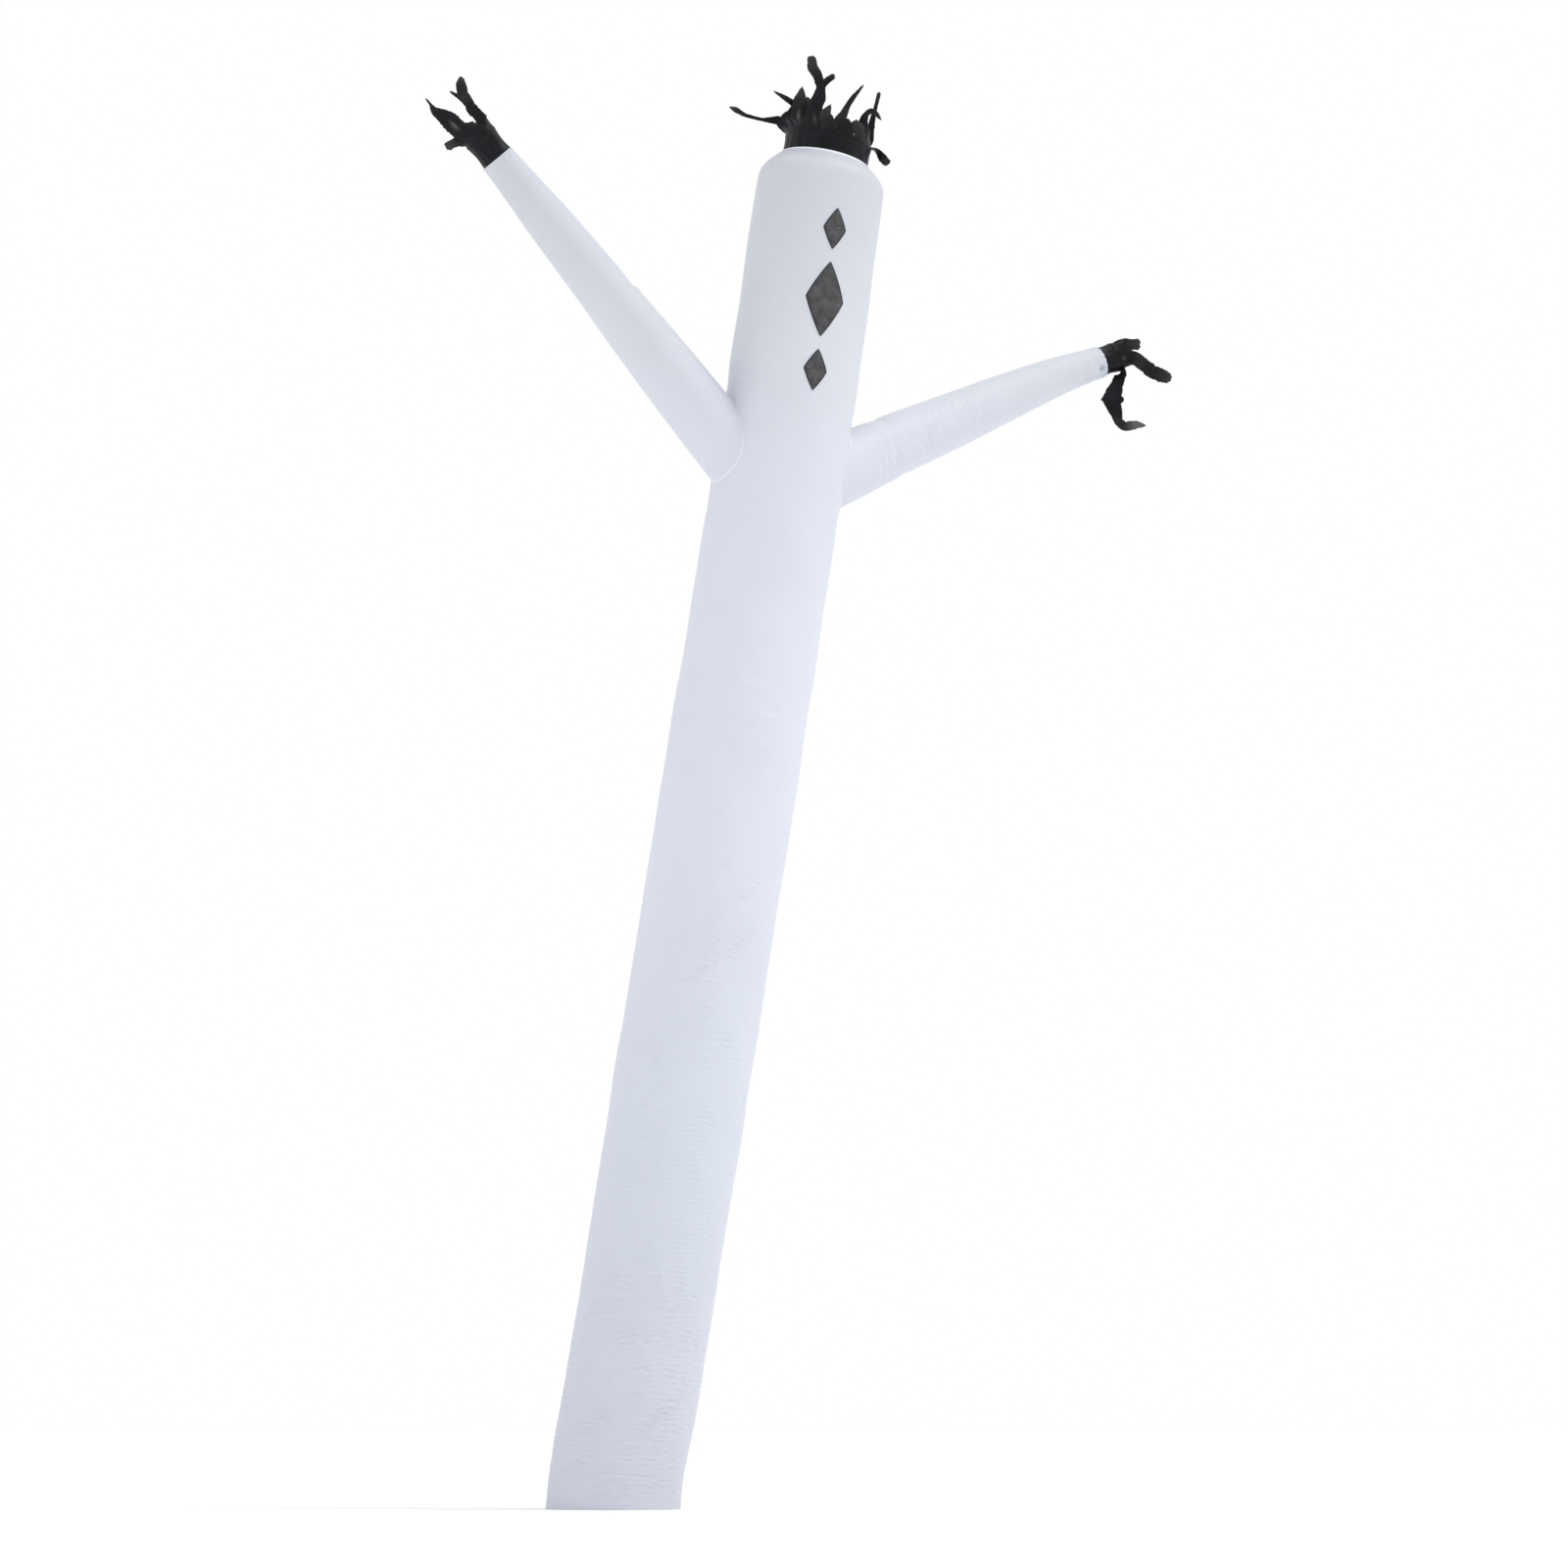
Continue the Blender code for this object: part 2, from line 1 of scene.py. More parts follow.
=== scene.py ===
# %% [markdown]
# # An inflatable air dancer, dressed in its cloth
#
# An air dancer is one tall sewn tube of light nylon with two cone arms. A fan under the bottom
# hem blows it up. The air leaves through the crown and the cuffs, where loose strips of black
# nylon flutter in it. The solids of the model carry the sizes. This lesson lays a thin finished
# cloth over each of them and changes none of their sizes.

# %% Load the frame
import json
import math
from collections import namedtuple

import bpy
import numpy as np
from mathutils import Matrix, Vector

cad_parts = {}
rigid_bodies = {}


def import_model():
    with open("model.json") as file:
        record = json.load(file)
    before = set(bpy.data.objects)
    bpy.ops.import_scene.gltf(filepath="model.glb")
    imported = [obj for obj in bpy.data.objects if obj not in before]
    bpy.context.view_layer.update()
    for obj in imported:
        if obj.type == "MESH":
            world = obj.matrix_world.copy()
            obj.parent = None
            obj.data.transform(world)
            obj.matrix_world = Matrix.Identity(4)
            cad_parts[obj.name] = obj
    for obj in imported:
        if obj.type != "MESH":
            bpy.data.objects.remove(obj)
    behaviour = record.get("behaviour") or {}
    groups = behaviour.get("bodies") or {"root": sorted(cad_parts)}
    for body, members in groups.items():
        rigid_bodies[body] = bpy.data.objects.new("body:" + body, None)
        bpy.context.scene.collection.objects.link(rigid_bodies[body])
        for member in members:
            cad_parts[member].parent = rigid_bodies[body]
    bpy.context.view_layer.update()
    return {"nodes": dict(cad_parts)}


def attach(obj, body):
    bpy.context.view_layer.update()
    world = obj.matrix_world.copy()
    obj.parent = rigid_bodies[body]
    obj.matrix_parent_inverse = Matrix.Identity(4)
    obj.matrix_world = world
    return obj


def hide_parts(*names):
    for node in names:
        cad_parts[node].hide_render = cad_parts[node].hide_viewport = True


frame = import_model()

print("nodes in the frame:", sorted(frame["nodes"]))

# %% [markdown]
# ## The camera
#
# The dancer is five metres tall and is looked at from low down and far off, with a long lens.
# The camera comes first, so that every later step can be judged from the same place. It stands
# 20 m away, a little to the left of the front, with its lens near knee height and tilted up.

# %% Camera
CAMERA_DISTANCE = 20.0
CAMERA_BEARING = -22.0       # degrees round from the front, toward -X
CAMERA_HEIGHT = 0.35
CAMERA_TILT = 6.0627         # degrees up from level
CAMERA_TURN = -23.6617       # degrees round +Z from looking along +Y
CAMERA_LENS = 134.327        # mm, on a sensor 36 mm wide

bearing = math.radians(CAMERA_BEARING)
camera_data = bpy.data.cameras.new("camera")
camera_data.lens = CAMERA_LENS
camera_data.sensor_width = 36.0
camera_data.clip_end = 200.0
camera = bpy.data.objects.new("camera", camera_data)
camera.location = (CAMERA_DISTANCE * math.sin(bearing), -CAMERA_DISTANCE * math.cos(bearing),
                   CAMERA_HEIGHT)
camera.rotation_euler = (math.radians(90 + CAMERA_TILT), 0, math.radians(CAMERA_TURN))
bpy.context.scene.collection.objects.link(camera)
bpy.context.scene.camera = camera
print("camera at", [round(value, 3) for value in camera.location])

# %% [markdown]
# ## Colours and nodes
#
# A colour picked on a screen is an sRGB hex value, but Blender's shaders work in linear light,
# so one function turns the one into the other. A material is a small graph of nodes. One
# function adds a node, sets its options, and fills each input with a value or a link. The
# others add the kinds of node that every cloth here needs.

# %% Colour and node helpers
def linear(hex_colour):
    """An sRGB hex colour as linear red, green, blue and alpha."""
    parts = [int(hex_colour[start:start + 2], 16) / 255 for start in (1, 3, 5)]
    return tuple(part / 12.92 if part <= 0.04045 else ((part + 0.055) / 1.055) ** 2.4
                 for part in parts) + (1.0,)


def fill(tree, node, inputs):
    """Give each input of a node a value or the socket that feeds it."""
    for name, value in inputs.items():
        if isinstance(value, bpy.types.NodeSocket):
            tree.links.new(value, node.inputs[name])
        else:
            node.inputs[name].default_value = value


def add_node(tree, kind, inputs=None, **options):
    """Add a node, set its options, and fill its inputs."""
    node = tree.nodes.new(kind)
    for name, value in options.items():
        setattr(node, name, value)
    fill(tree, node, inputs or {})
    return node


def noise(tree, place, scale, **inputs):
    """A cloudy pattern, with so many clouds to a metre."""
    return add_node(tree, "ShaderNodeTexNoise",
                    {"Vector": place, "Scale": scale, **inputs}).outputs["Fac"]


def remap(tree, value, from_low=0.0, from_high=1.0, to_low=0.0, to_high=1.0):
    """A value moved from one range to another, and kept inside it."""
    return add_node(tree, "ShaderNodeMapRange", {
        "Value": value, "From Min": from_low, "From Max": from_high,
        "To Min": to_low, "To Max": to_high}).outputs[0]


def mix(tree, share, first, second, blend="MIX"):
    """Two colours mixed by a share."""
    return add_node(tree, "ShaderNodeMix", {0: share, 6: first, 7: second},
                    data_type="RGBA", blend_type=blend).outputs[2]


def kept(tree, name):
    """The number that a mesh keeps for each of its points under a name."""
    return add_node(tree, "ShaderNodeAttribute", attribute_name=name).outputs["Fac"]


def raise_bumps(tree, shader, *layers):
    """Bump a shader's surface in layers, each a height, a strength and a distance in metres."""
    normal = {}
    for height, strength, distance in layers:
        raised = add_node(tree, "ShaderNodeBump", {"Height": height, "Strength": strength,
                                                   "Distance": distance, **normal})
        normal = {"Normal": raised.outputs[0]}
    fill(tree, shader, normal)


print("white of the cloth in linear light:", [round(part, 3) for part in linear("#E4E8F2")])

# %% [markdown]
# ## Floor, sky and studio light
#
# A plain pale floor and soft light show cloth best. The floor is one wide disc. The sky is a
# plain dome that lights every side, and one large soft lamp, high up on the right, makes the small
# crinkles read. A lamp that is far away lights all of the floor alike, so it melts into the sky.
# What the lens itself sees of the sky is pure white.

# %% Floor
FLOOR_RADIUS = 60.0
FLOOR_SIDES = 64
FLOOR_COLOUR = "#FBFBFB"


def make_mesh(name, points, faces, material=None):
    """A mesh object from arrays of points and faces."""
    mesh = bpy.data.meshes.new(name)
    mesh.from_pydata(np.asarray(points).reshape(-1, 3).tolist(), [], [list(face) for face in faces])
    made = bpy.data.objects.new(name, mesh)
    bpy.context.scene.collection.objects.link(made)
    if material is not None:
        mesh.materials.append(material)
    return made


def new_material(name):
    """An empty material with its shader, and the shader's node."""
    made = bpy.data.materials.new(name)
    made.use_nodes = True
    return made, made.node_tree, made.node_tree.nodes["Principled BSDF"]


floor_paint, floor_tree, floor_shader = new_material("matt_floor_paint")
fill(floor_tree, floor_shader, {"Base Color": linear(FLOOR_COLOUR), "Roughness": 0.9,
                                "Specular IOR Level": 0.1})
floor_turns = np.linspace(0, 2 * math.pi, FLOOR_SIDES, endpoint=False)
floor_points = np.stack([FLOOR_RADIUS * np.cos(floor_turns), FLOOR_RADIUS * np.sin(floor_turns),
                         np.zeros(FLOOR_SIDES)], axis=1)
floor = make_mesh("floor", floor_points, [range(FLOOR_SIDES)], floor_paint)
print("floor across: %.0f m" % (2 * FLOOR_RADIUS))

# %% Sky and lamp
SKY_LIGHT = 1.00
SKY_COLOUR = "#F9FAFF"
LAMP_BEARING = 66.0          # degrees round from the front, toward +X
LAMP_RISE = 60.0             # degrees up
LAMP_SPREAD = 14.0           # degrees across, as a large softbox far away
LAMP_STRENGTH = 0.95

sky = bpy.data.worlds.new("sky")
sky.use_nodes = True
sky_tree = sky.node_tree
sky_tree.nodes.clear()
lens_ray = add_node(sky_tree, "ShaderNodeLightPath").outputs["Is Camera Ray"]
dome = add_node(sky_tree, "ShaderNodeBackground", {"Color": linear(SKY_COLOUR),
                                                   "Strength": SKY_LIGHT}).outputs[0]
seen = add_node(sky_tree, "ShaderNodeBackground", {"Color": linear("#FFFFFF"),
                                                   "Strength": 1.0}).outputs[0]
both = add_node(sky_tree, "ShaderNodeMixShader", {0: lens_ray, 1: dome, 2: seen}).outputs[0]
add_node(sky_tree, "ShaderNodeOutputWorld", {"Surface": both})
bpy.context.scene.world = sky

lamp_data = bpy.data.lights.new("soft_lamp", "SUN")
lamp_data.angle = math.radians(LAMP_SPREAD)
lamp_data.energy = LAMP_STRENGTH
lamp = bpy.data.objects.new("soft_lamp", lamp_data)
lamp_level = math.cos(math.radians(LAMP_RISE))
lamp_way = Vector((math.sin(math.radians(LAMP_BEARING)) * lamp_level,
                   -math.cos(math.radians(LAMP_BEARING)) * lamp_level,
                   math.sin(math.radians(LAMP_RISE))))
lamp.rotation_euler = lamp_way.to_track_quat("Z", "Y").to_euler()
bpy.context.scene.collection.objects.link(lamp)
bpy.context.scene.view_settings.view_transform = "Standard"
print("lamp shines from", [round(value, 2) for value in lamp_way])

# %% [markdown]
# ## A tube of cloth
#
# Blown-up cloth is easiest to describe as a tube: a line up its middle that turns evenly from
# one heading to the next, and a radius at each place. A sculpted or simulated tube would lose
# the sewn sizes. A table keeps them exact, and a smooth curve through the table keeps the
# surface from showing its rows. The tables are those of the solids.

# %% The tube's tables and its surface
Heading = namedtuple("Heading", "along azimuth elevation")
Width = namedtuple("Width", "along radius")
Dent = namedtuple("Dent", "along around length arc depth")
WALK_STEP = 0.005            # step along the centreline, in metres
LOCATE_STEPS = 5             # rounds of the search for the place on a tube nearest a point


def smooth(x, table_x, table_y):
    """A smooth curve through a table's rows that never swings past them."""
    table_x = np.asarray(table_x, float)
    table_y = np.asarray(table_y, float)
    if len(table_x) < 3:
        return np.interp(x, table_x, table_y)
    gaps = np.diff(table_x)
    rises = np.diff(table_y) / gaps
    product = rises[:-1] * rises[1:]
    total = np.where(product > 0, rises[:-1] + rises[1:], 1.0)
    middle = np.where(product > 0, 2 * product / total, 0.0)
    tangents = np.concatenate([rises[:1], middle, rises[-1:]])
    x = np.clip(x, table_x[0], table_x[-1])
    row = np.clip(np.searchsorted(table_x, x, side="right") - 1, 0, len(gaps) - 1)
    share = (x - table_x[row]) / gaps[row]
    start = (1 + 2 * share) * (1 - share) ** 2 * table_y[row]
    end = share ** 2 * (3 - 2 * share) * table_y[row + 1]
    lean = share * (1 - share) ** 2 * tangents[row] - share ** 2 * (1 - share) * tangents[row + 1]
    return start + end + gaps[row] * lean


def unit(vectors):
    """Vectors made one metre long."""
    return vectors / np.linalg.norm(vectors, axis=-1, keepdims=True)


def turn_from(around, middle):
    """How many degrees round from a middle places lie, by the short way."""
    return (around - middle + 180) % 360 - 180


def farness(along, around, spot):
    """How far places lie from a spot's middle: 1 at the end of its length or arc, squared."""
    turn = turn_from(around, spot.around)
    return ((along - spot.along) / spot.length) ** 2 + (turn / spot.arc) ** 2


class Tube:
    """A cloth tube along a walked centreline, with its own radius at every place."""

    def __init__(self, headings, widths, start, first=0.0, dents=()):
        self.widths = widths
        self.dents = dents
        count = int(round((widths[-1].along - first) / WALK_STEP)) + 1
        self.alongs = np.linspace(first, widths[-1].along, count)
        turned, azimuths, elevations = zip(*headings)
        azimuth = np.radians(np.interp(self.alongs, turned, azimuths))
        elevation = np.radians(np.interp(self.alongs, turned, elevations))
        level = np.cos(elevation)
        self.headings = np.stack([level * np.cos(azimuth), level * np.sin(azimuth),
                                  np.sin(elevation)], axis=1)
        moves = (self.headings[1:] + self.headings[:-1]) / 2 * np.diff(self.alongs)[:, None]
        self.centres = np.vstack([np.zeros(3), np.cumsum(moves, axis=0)]) + np.array(start)

    def frame(self, along):
        """The tube's centre, its side and back directions, and its heading, at each place."""
        centre = np.stack([np.interp(along, self.alongs, column) for column in self.centres.T], -1)
        heading = unit(np.stack([np.interp(along, self.alongs, column)
                                 for column in self.headings.T], -1))
        back = np.array((0.0, 1.0, 0.0))
        back = unit(back - heading * heading[..., 1:2])
        return centre, np.cross(back, heading), back, heading

    def radius(self, along, around):
        """The radius at each place, with its dents."""
        radius = smooth(along, *zip(*self.widths))
        for dent in self.dents:
            radius = radius - dent.depth * np.exp(-2.0 * farness(along, around, dent))
        return radius

    def place(self, along, around, out=0.0):
        """Points on the tube, or out from it by a distance."""
        along, around = np.broadcast_arrays(np.asarray(along, float), np.asarray(around, float))
        centre, side, back, _ = self.frame(along)
        angle = np.radians(around)[..., None]
        reach = (self.radius(along, around) + out)[..., None]
        return centre + (side * np.cos(angle) + back * np.sin(angle)) * reach

    def locate(self, points):
        """Where points lie: along the tube, round it, and out from its surface."""
        along = np.interp(points[..., 2], self.centres[:, 2], self.alongs)
        for _ in range(LOCATE_STEPS):
            centre, side, back, heading = self.frame(along)
            along = along + np.sum((points - centre) * heading, axis=-1)
        way = points - centre
        over = np.sum(way * side, axis=-1)
        behind = np.sum(way * back, axis=-1)
        around = np.degrees(np.arctan2(behind, over)) % 360
        return along, around, np.hypot(over, behind) - self.radius(along, around)


# %% The body's tables
BODY_HEADINGS = (Heading(0.00, 0, 90.0), Heading(0.04, 0, 84.0), Heading(0.12, 0, 79.0),
                 Heading(0.60, 0, 80.2), Heading(3.60, 0, 80.4), Heading(4.20, 0, 81.4),
                 Heading(4.66, 0, 81.6), Heading(4.78, 0, 78.6))
BODY_WIDTHS = (Width(0.00, 0.2285), Width(0.50, 0.2295), Width(1.20, 0.2320), Width(2.20, 0.2335),
               Width(3.30, 0.2310), Width(4.10, 0.2285), Width(4.50, 0.2262), Width(4.69, 0.2225),
               Width(4.714, 0.2180), Width(4.734, 0.2060), Width(4.756, 0.1840),
               Width(4.783, 0.1550))
BODY_DENTS = (Dent(3.925, 180, 0.070, 44, 0.007), Dent(3.480, 184, 0.060, 36, 0.005),
              Dent(3.860, 356, 0.070, 40, 0.006), Dent(3.500, 2, 0.070, 44, 0.008),
              Dent(0.160, 330, 0.120, 50, 0.004))
BODY_LENGTH = BODY_WIDTHS[-1].along
body = Tube(BODY_HEADINGS, BODY_WIDTHS, (0.0, 0.0, 0.0), 0.0, BODY_DENTS)
print("body: %.2f m of cloth, widest %.0f mm across"
      % (BODY_LENGTH, 2000 * max(row.radius for row in BODY_WIDTHS)))

# %% [markdown]
# ## Creases
#
# Light nylon under air is smooth where it is pulled tight and breaks into short, sharp crinkles
# where it is a little too long, mostly round the foot and on the front. They could be a noise in
# the material alone, but real ones catch the light along a crest. So the main ones are pressed
# into the mesh: each is a short trough with a low ridge under it. The steep side between them
# faces up and shows as a thin bright line, and the gentle sides beyond them are only a little
# darker. The main groups are placed one by one, and loops fill in finer ones between them.

# %% A crease and how it is pressed
Crease = namedtuple("Crease", "along around length width depth slant")
Group = namedtuple("Group", "along around count rise drift length width depth slant")
Zone = namedtuple("Zone", "low high groups length pitch depth slant")
RIDGE_SHARE = 0.85           # height of the ridge under a trough, as a share of its depth
RIDGE_SHIFT = -1.5           # how far up from the trough the ridge lies, in trough widths
GENTLE_SIDE = 2.1            # how many times as wide the outer side of a trough or ridge is
CREASE_BOW = 1.2             # how far the middle of a crease bows up, in its widths
REACH_OF_LENGTH = 0.6        # how far from its middle a crease is pressed, as a share of its
REACH_WIDTHS = 4             # length, and how many of its widths beyond that
CREASE_WIDTH_OF_PITCH = 0.22
STROKES = (3, 8)             # creases in a group: the fewest, and one more than the most
CLOTH_LEAST = 0.0004         # m left between the two faces of the cloth under the deepest crease
rng = np.random.default_rng(20)


def press(field, alongs, arounds, radius, crease):
    """Press one crease into a field of heights over a tube."""
    reach = crease.length * REACH_OF_LENGTH + REACH_WIDTHS * crease.width
    low, high = np.searchsorted(alongs, (crease.along - reach, crease.along + reach))
    turns = np.radians(turn_from(arounds, crease.around))
    near = np.flatnonzero(np.abs(turns) * radius < reach)
    if high - low < 2 or len(near) == 0:
        return
    up = (alongs[low:high] - crease.along)[:, None]
    over = turns[near][None] * radius
    slant = math.radians(crease.slant)
    run = over * math.cos(slant) + up * math.sin(slant)
    bow = crease.width * CREASE_BOW * np.cos(run / crease.length * math.pi)
    off = (up * math.cos(slant) - over * math.sin(slant) - bow) / crease.width
    span = np.exp(-(run / (0.5 * crease.length)) ** 4)
    ridge = off - RIDGE_SHIFT
    shape = (np.exp(-(off / np.where(off > 0, GENTLE_SIDE, 1)) ** 2)
             - RIDGE_SHARE * np.exp(-(ridge / np.where(ridge < 0, GENTLE_SIDE, 1)) ** 2))
    field[low:high, near] -= crease.depth * span * shape


def press_groups(field, alongs, arounds, radius, groups):
    """Press groups of like creases, each one a rise further up and a drift further round."""
    for group in groups:
        for step in range(group.count):
            press(field, alongs, arounds, radius,
                  Crease(group.along + step * group.rise, group.around + step * group.drift,
                         group.length * rng.uniform(0.8, 1.1), group.width,
                         group.depth * rng.uniform(0.7, 1.1), group.slant + rng.normal(0, 3)))


def crinkle(field, alongs, arounds, radius, zones, strengths, tilt=0.0):
    """Fill zones of a tube with groups of fine creases, more of them where strengths says.

    A crease of no slant is level where the tube leans sideways by tilt degrees.
    """
    pressed = 0
    for zone in zones:
        for _ in range(zone.groups):
            along = rng.uniform(zone.low, zone.high)
            around = rng.uniform(0, 360)
            count = int(rng.integers(*STROKES))
            slant = zone.slant + rng.normal(0, 7) - tilt * math.sin(math.radians(around))
            depth = zone.depth * rng.uniform(0.5, 1.3)
            keep = rng.uniform() < np.interp(around, *zip(*strengths))
            drift = rng.normal(0, 0.2)
            for _ in range(count):
                along += zone.pitch * rng.uniform(0.75, 1.35)
                around += math.degrees(zone.length / radius) * (drift + rng.normal(0, 0.12))
                length = zone.length * rng.uniform(0.55, 1.3)
                lean = slant + rng.normal(0, 4)
                if keep:
                    width = zone.pitch * CREASE_WIDTH_OF_PITCH
                    press(field, alongs, arounds, radius,
                          Crease(along, around % 360, length, width, depth, lean))
                    pressed += 1
    return pressed


def hold(heights, depth):
    """Heights that fade out before they reach the cloth's own inner face, at a depth."""
    deepest = depth - CLOTH_LEAST
    return np.where(heights < 0, -deepest * np.tanh(-heights / deepest), heights)


# %% [markdown]
# ## From a surface to a sheet with two sides
#
# Cloth has two faces and an edge. The outer face carries the crinkles on a fine grid. The inner
# face only has to be there when one looks into the sleeve, so it has few rows. The two are
# joined at both rims, which closes the sheet. Its UV map is in metres of cloth, so that a
# pattern in a material has its real size.

# %% Grids and tubes as meshes
SMOOTH_LIMIT = 40            # edges that bend by more degrees than this stay sharp
UV_NAME = "cloth_metres"


def grid_faces(rows, columns, first, outward, closed=True):
    """The quads of a grid of points whose rows may close round a tube."""
    corner = np.arange(rows - 1)[:, None] * columns + first
    step = np.arange(columns if closed else columns - 1)[None]
    beside = (step + 1) % columns
    quads = np.stack([corner + step, corner + beside, corner + columns + beside,
                      corner + columns + step], axis=-1).reshape(-1, 4)
    return quads if outward else quads[:, ::-1]


def finish_mesh(made, uv, wrap=0.0):
    """Shade a mesh smooth and give its corners their place on the cloth."""
    mesh = made.data
    corners = np.empty(len(mesh.loops), dtype=np.int32)
    mesh.loops.foreach_get("vertex_index", corners)
    places = np.asarray(uv)[corners]
    if wrap:
        starts = np.empty(len(mesh.polygons), dtype=np.int32)
        mesh.polygons.foreach_get("loop_start", starts)
        widest = np.maximum.reduceat(places[:, 0], starts)
        sizes = np.diff(np.append(starts, len(corners)))
        behind = np.repeat(widest, sizes) - places[:, 0] > wrap / 2
        places[behind, 0] += wrap
    layer = mesh.uv_layers.new(name=UV_NAME)
    layer.data.foreach_set("uv", places.astype(np.float32).ravel())
    mesh.shade_smooth()
    mesh.set_sharp_from_angle(angle=math.radians(SMOOTH_LIMIT))
    return made


def set_attribute(made, name, values):
    """Keep one number for each point of a mesh, for its material to read."""
    layer = made.data.attributes.new(name, "FLOAT", "POINT")
    layer.data.foreach_set("value", np.asarray(values, dtype=np.float32).ravel())


def make_tube(name, outer, inner, outer_uv, inner_uv, girth, material):
    """A closed sheet from an outer and an inner grid with the same number of columns."""
    columns = outer.shape[1]
    first = outer.shape[0] * columns
    step = np.arange(columns)
    beside = (step + 1) % columns
    top = first - columns
    inner_top = first + (inner.shape[0] - 1) * columns
    faces = np.vstack([
        grid_faces(outer.shape[0], columns, 0, True),
        grid_faces(inner.shape[0], columns, first, False),
        np.stack([step, first + step, first + beside, beside], axis=1),
        np.stack([top + step, top + beside, inner_top + beside, inner_top + step], axis=1)])
    points = np.vstack([outer.reshape(-1, 3), inner.reshape(-1, 3)])
    uv = np.vstack([outer_uv.reshape(-1, 2), inner_uv.reshape(-1, 2)])
    return finish_mesh(make_mesh(name, points, faces, material), uv, girth)


def tube_uv(alongs, arounds, width):
    """Metres round and metres along, for a grid of places on a tube."""
    alongs, arounds = np.broadcast_arrays(alongs, arounds)
    return np.stack([arounds / 360 * width, alongs], axis=-1)


def rows_of(*stretches):
    """Places along a tube, from pairs of where a stretch ends and how far apart its rows are."""
    places = [0.0]
    for up_to, spacing in stretches:
        count = max(1, round((up_to - places[-1]) / spacing))
        places += list(np.linspace(places[-1], up_to, count + 1)[1:])
    return np.array(places)


def end_weighted(count):
    """Shares from 0 to 1 that lie closest together near both ends."""
    share = np.linspace(0, 1, count)
    return share - 0.9 * np.sin(2 * math.pi * share) / (2 * math.pi)


def triangles(made):
    """How many triangles a mesh has."""
    made.data.calc_loop_triangles()
    return len(made.data.loop_triangles)


# %% [markdown]
# ## White ripstop nylon
#
# The body and arms are thin nylon, woven with a thicker thread every few millimetres that stops
# a tear, then coated on one side so that it holds air. The coating gives the eye a soft satin
# white, neither chalky nor glossy, with a little blue in it. Its tint is painted darker toward the
# foot and toward the crown as painted shade. Its IOR is that of nylon, 1.53.

# %% White nylon
RIPSTOP_PITCH = 0.010        # m; a real grid is 5 mm, drawn twice as coarse so that it shows
THREAD_PITCH = 0.0016        # m; real threads are 0.3 mm apart, drawn coarser so that they show
RIPPLE_PITCH = 0.0165        # m from one small ripple to the next
WAVE_PERIOD = 0.314          # how far apart a wave texture of scale 1 draws its bands
RIPPLE_GROUPS = (13.0, 15.0, 1.0)  # groups of ripples to a metre, round the tube and up it
FINE_CRINKLES = (20.0, 62.0, 1.0)  # fine crinkles to a metre, round the tube and up it
FINE_SHARE = 0.22            # height of the fine crinkles, as a share of the ripples'
CRINKLE_HEIGHT = 0.0026      # m, the heights of the material's bumps
GRID_HEIGHT = 0.0003
WEAVE_HEIGHT = 0.0002
NYLON_IOR = 1.53
# The cloth's own blue-white, painted darker toward the foot and toward the crown as painted shade.
WHITE_AND_PAINTED_SHADE_TINTS = ((0.00, "#C7C9D1"), (0.10, "#CBCED7"), (0.25, "#D0D4DD"), (0.45, "#D6D9E2"),
               (0.60, "#D7DAE2"), (0.76, "#D5D8DE"), (0.90, "#CDD1D5"), (1.00, "#C6C9CE"))
TINT_HEIGHT = 4.8            # m; the height of the last tint
HEM_AND_HIGHLIGHT_COLOUR = "#F0F2F8"
STAIN_COLOUR = "#8E93A6"


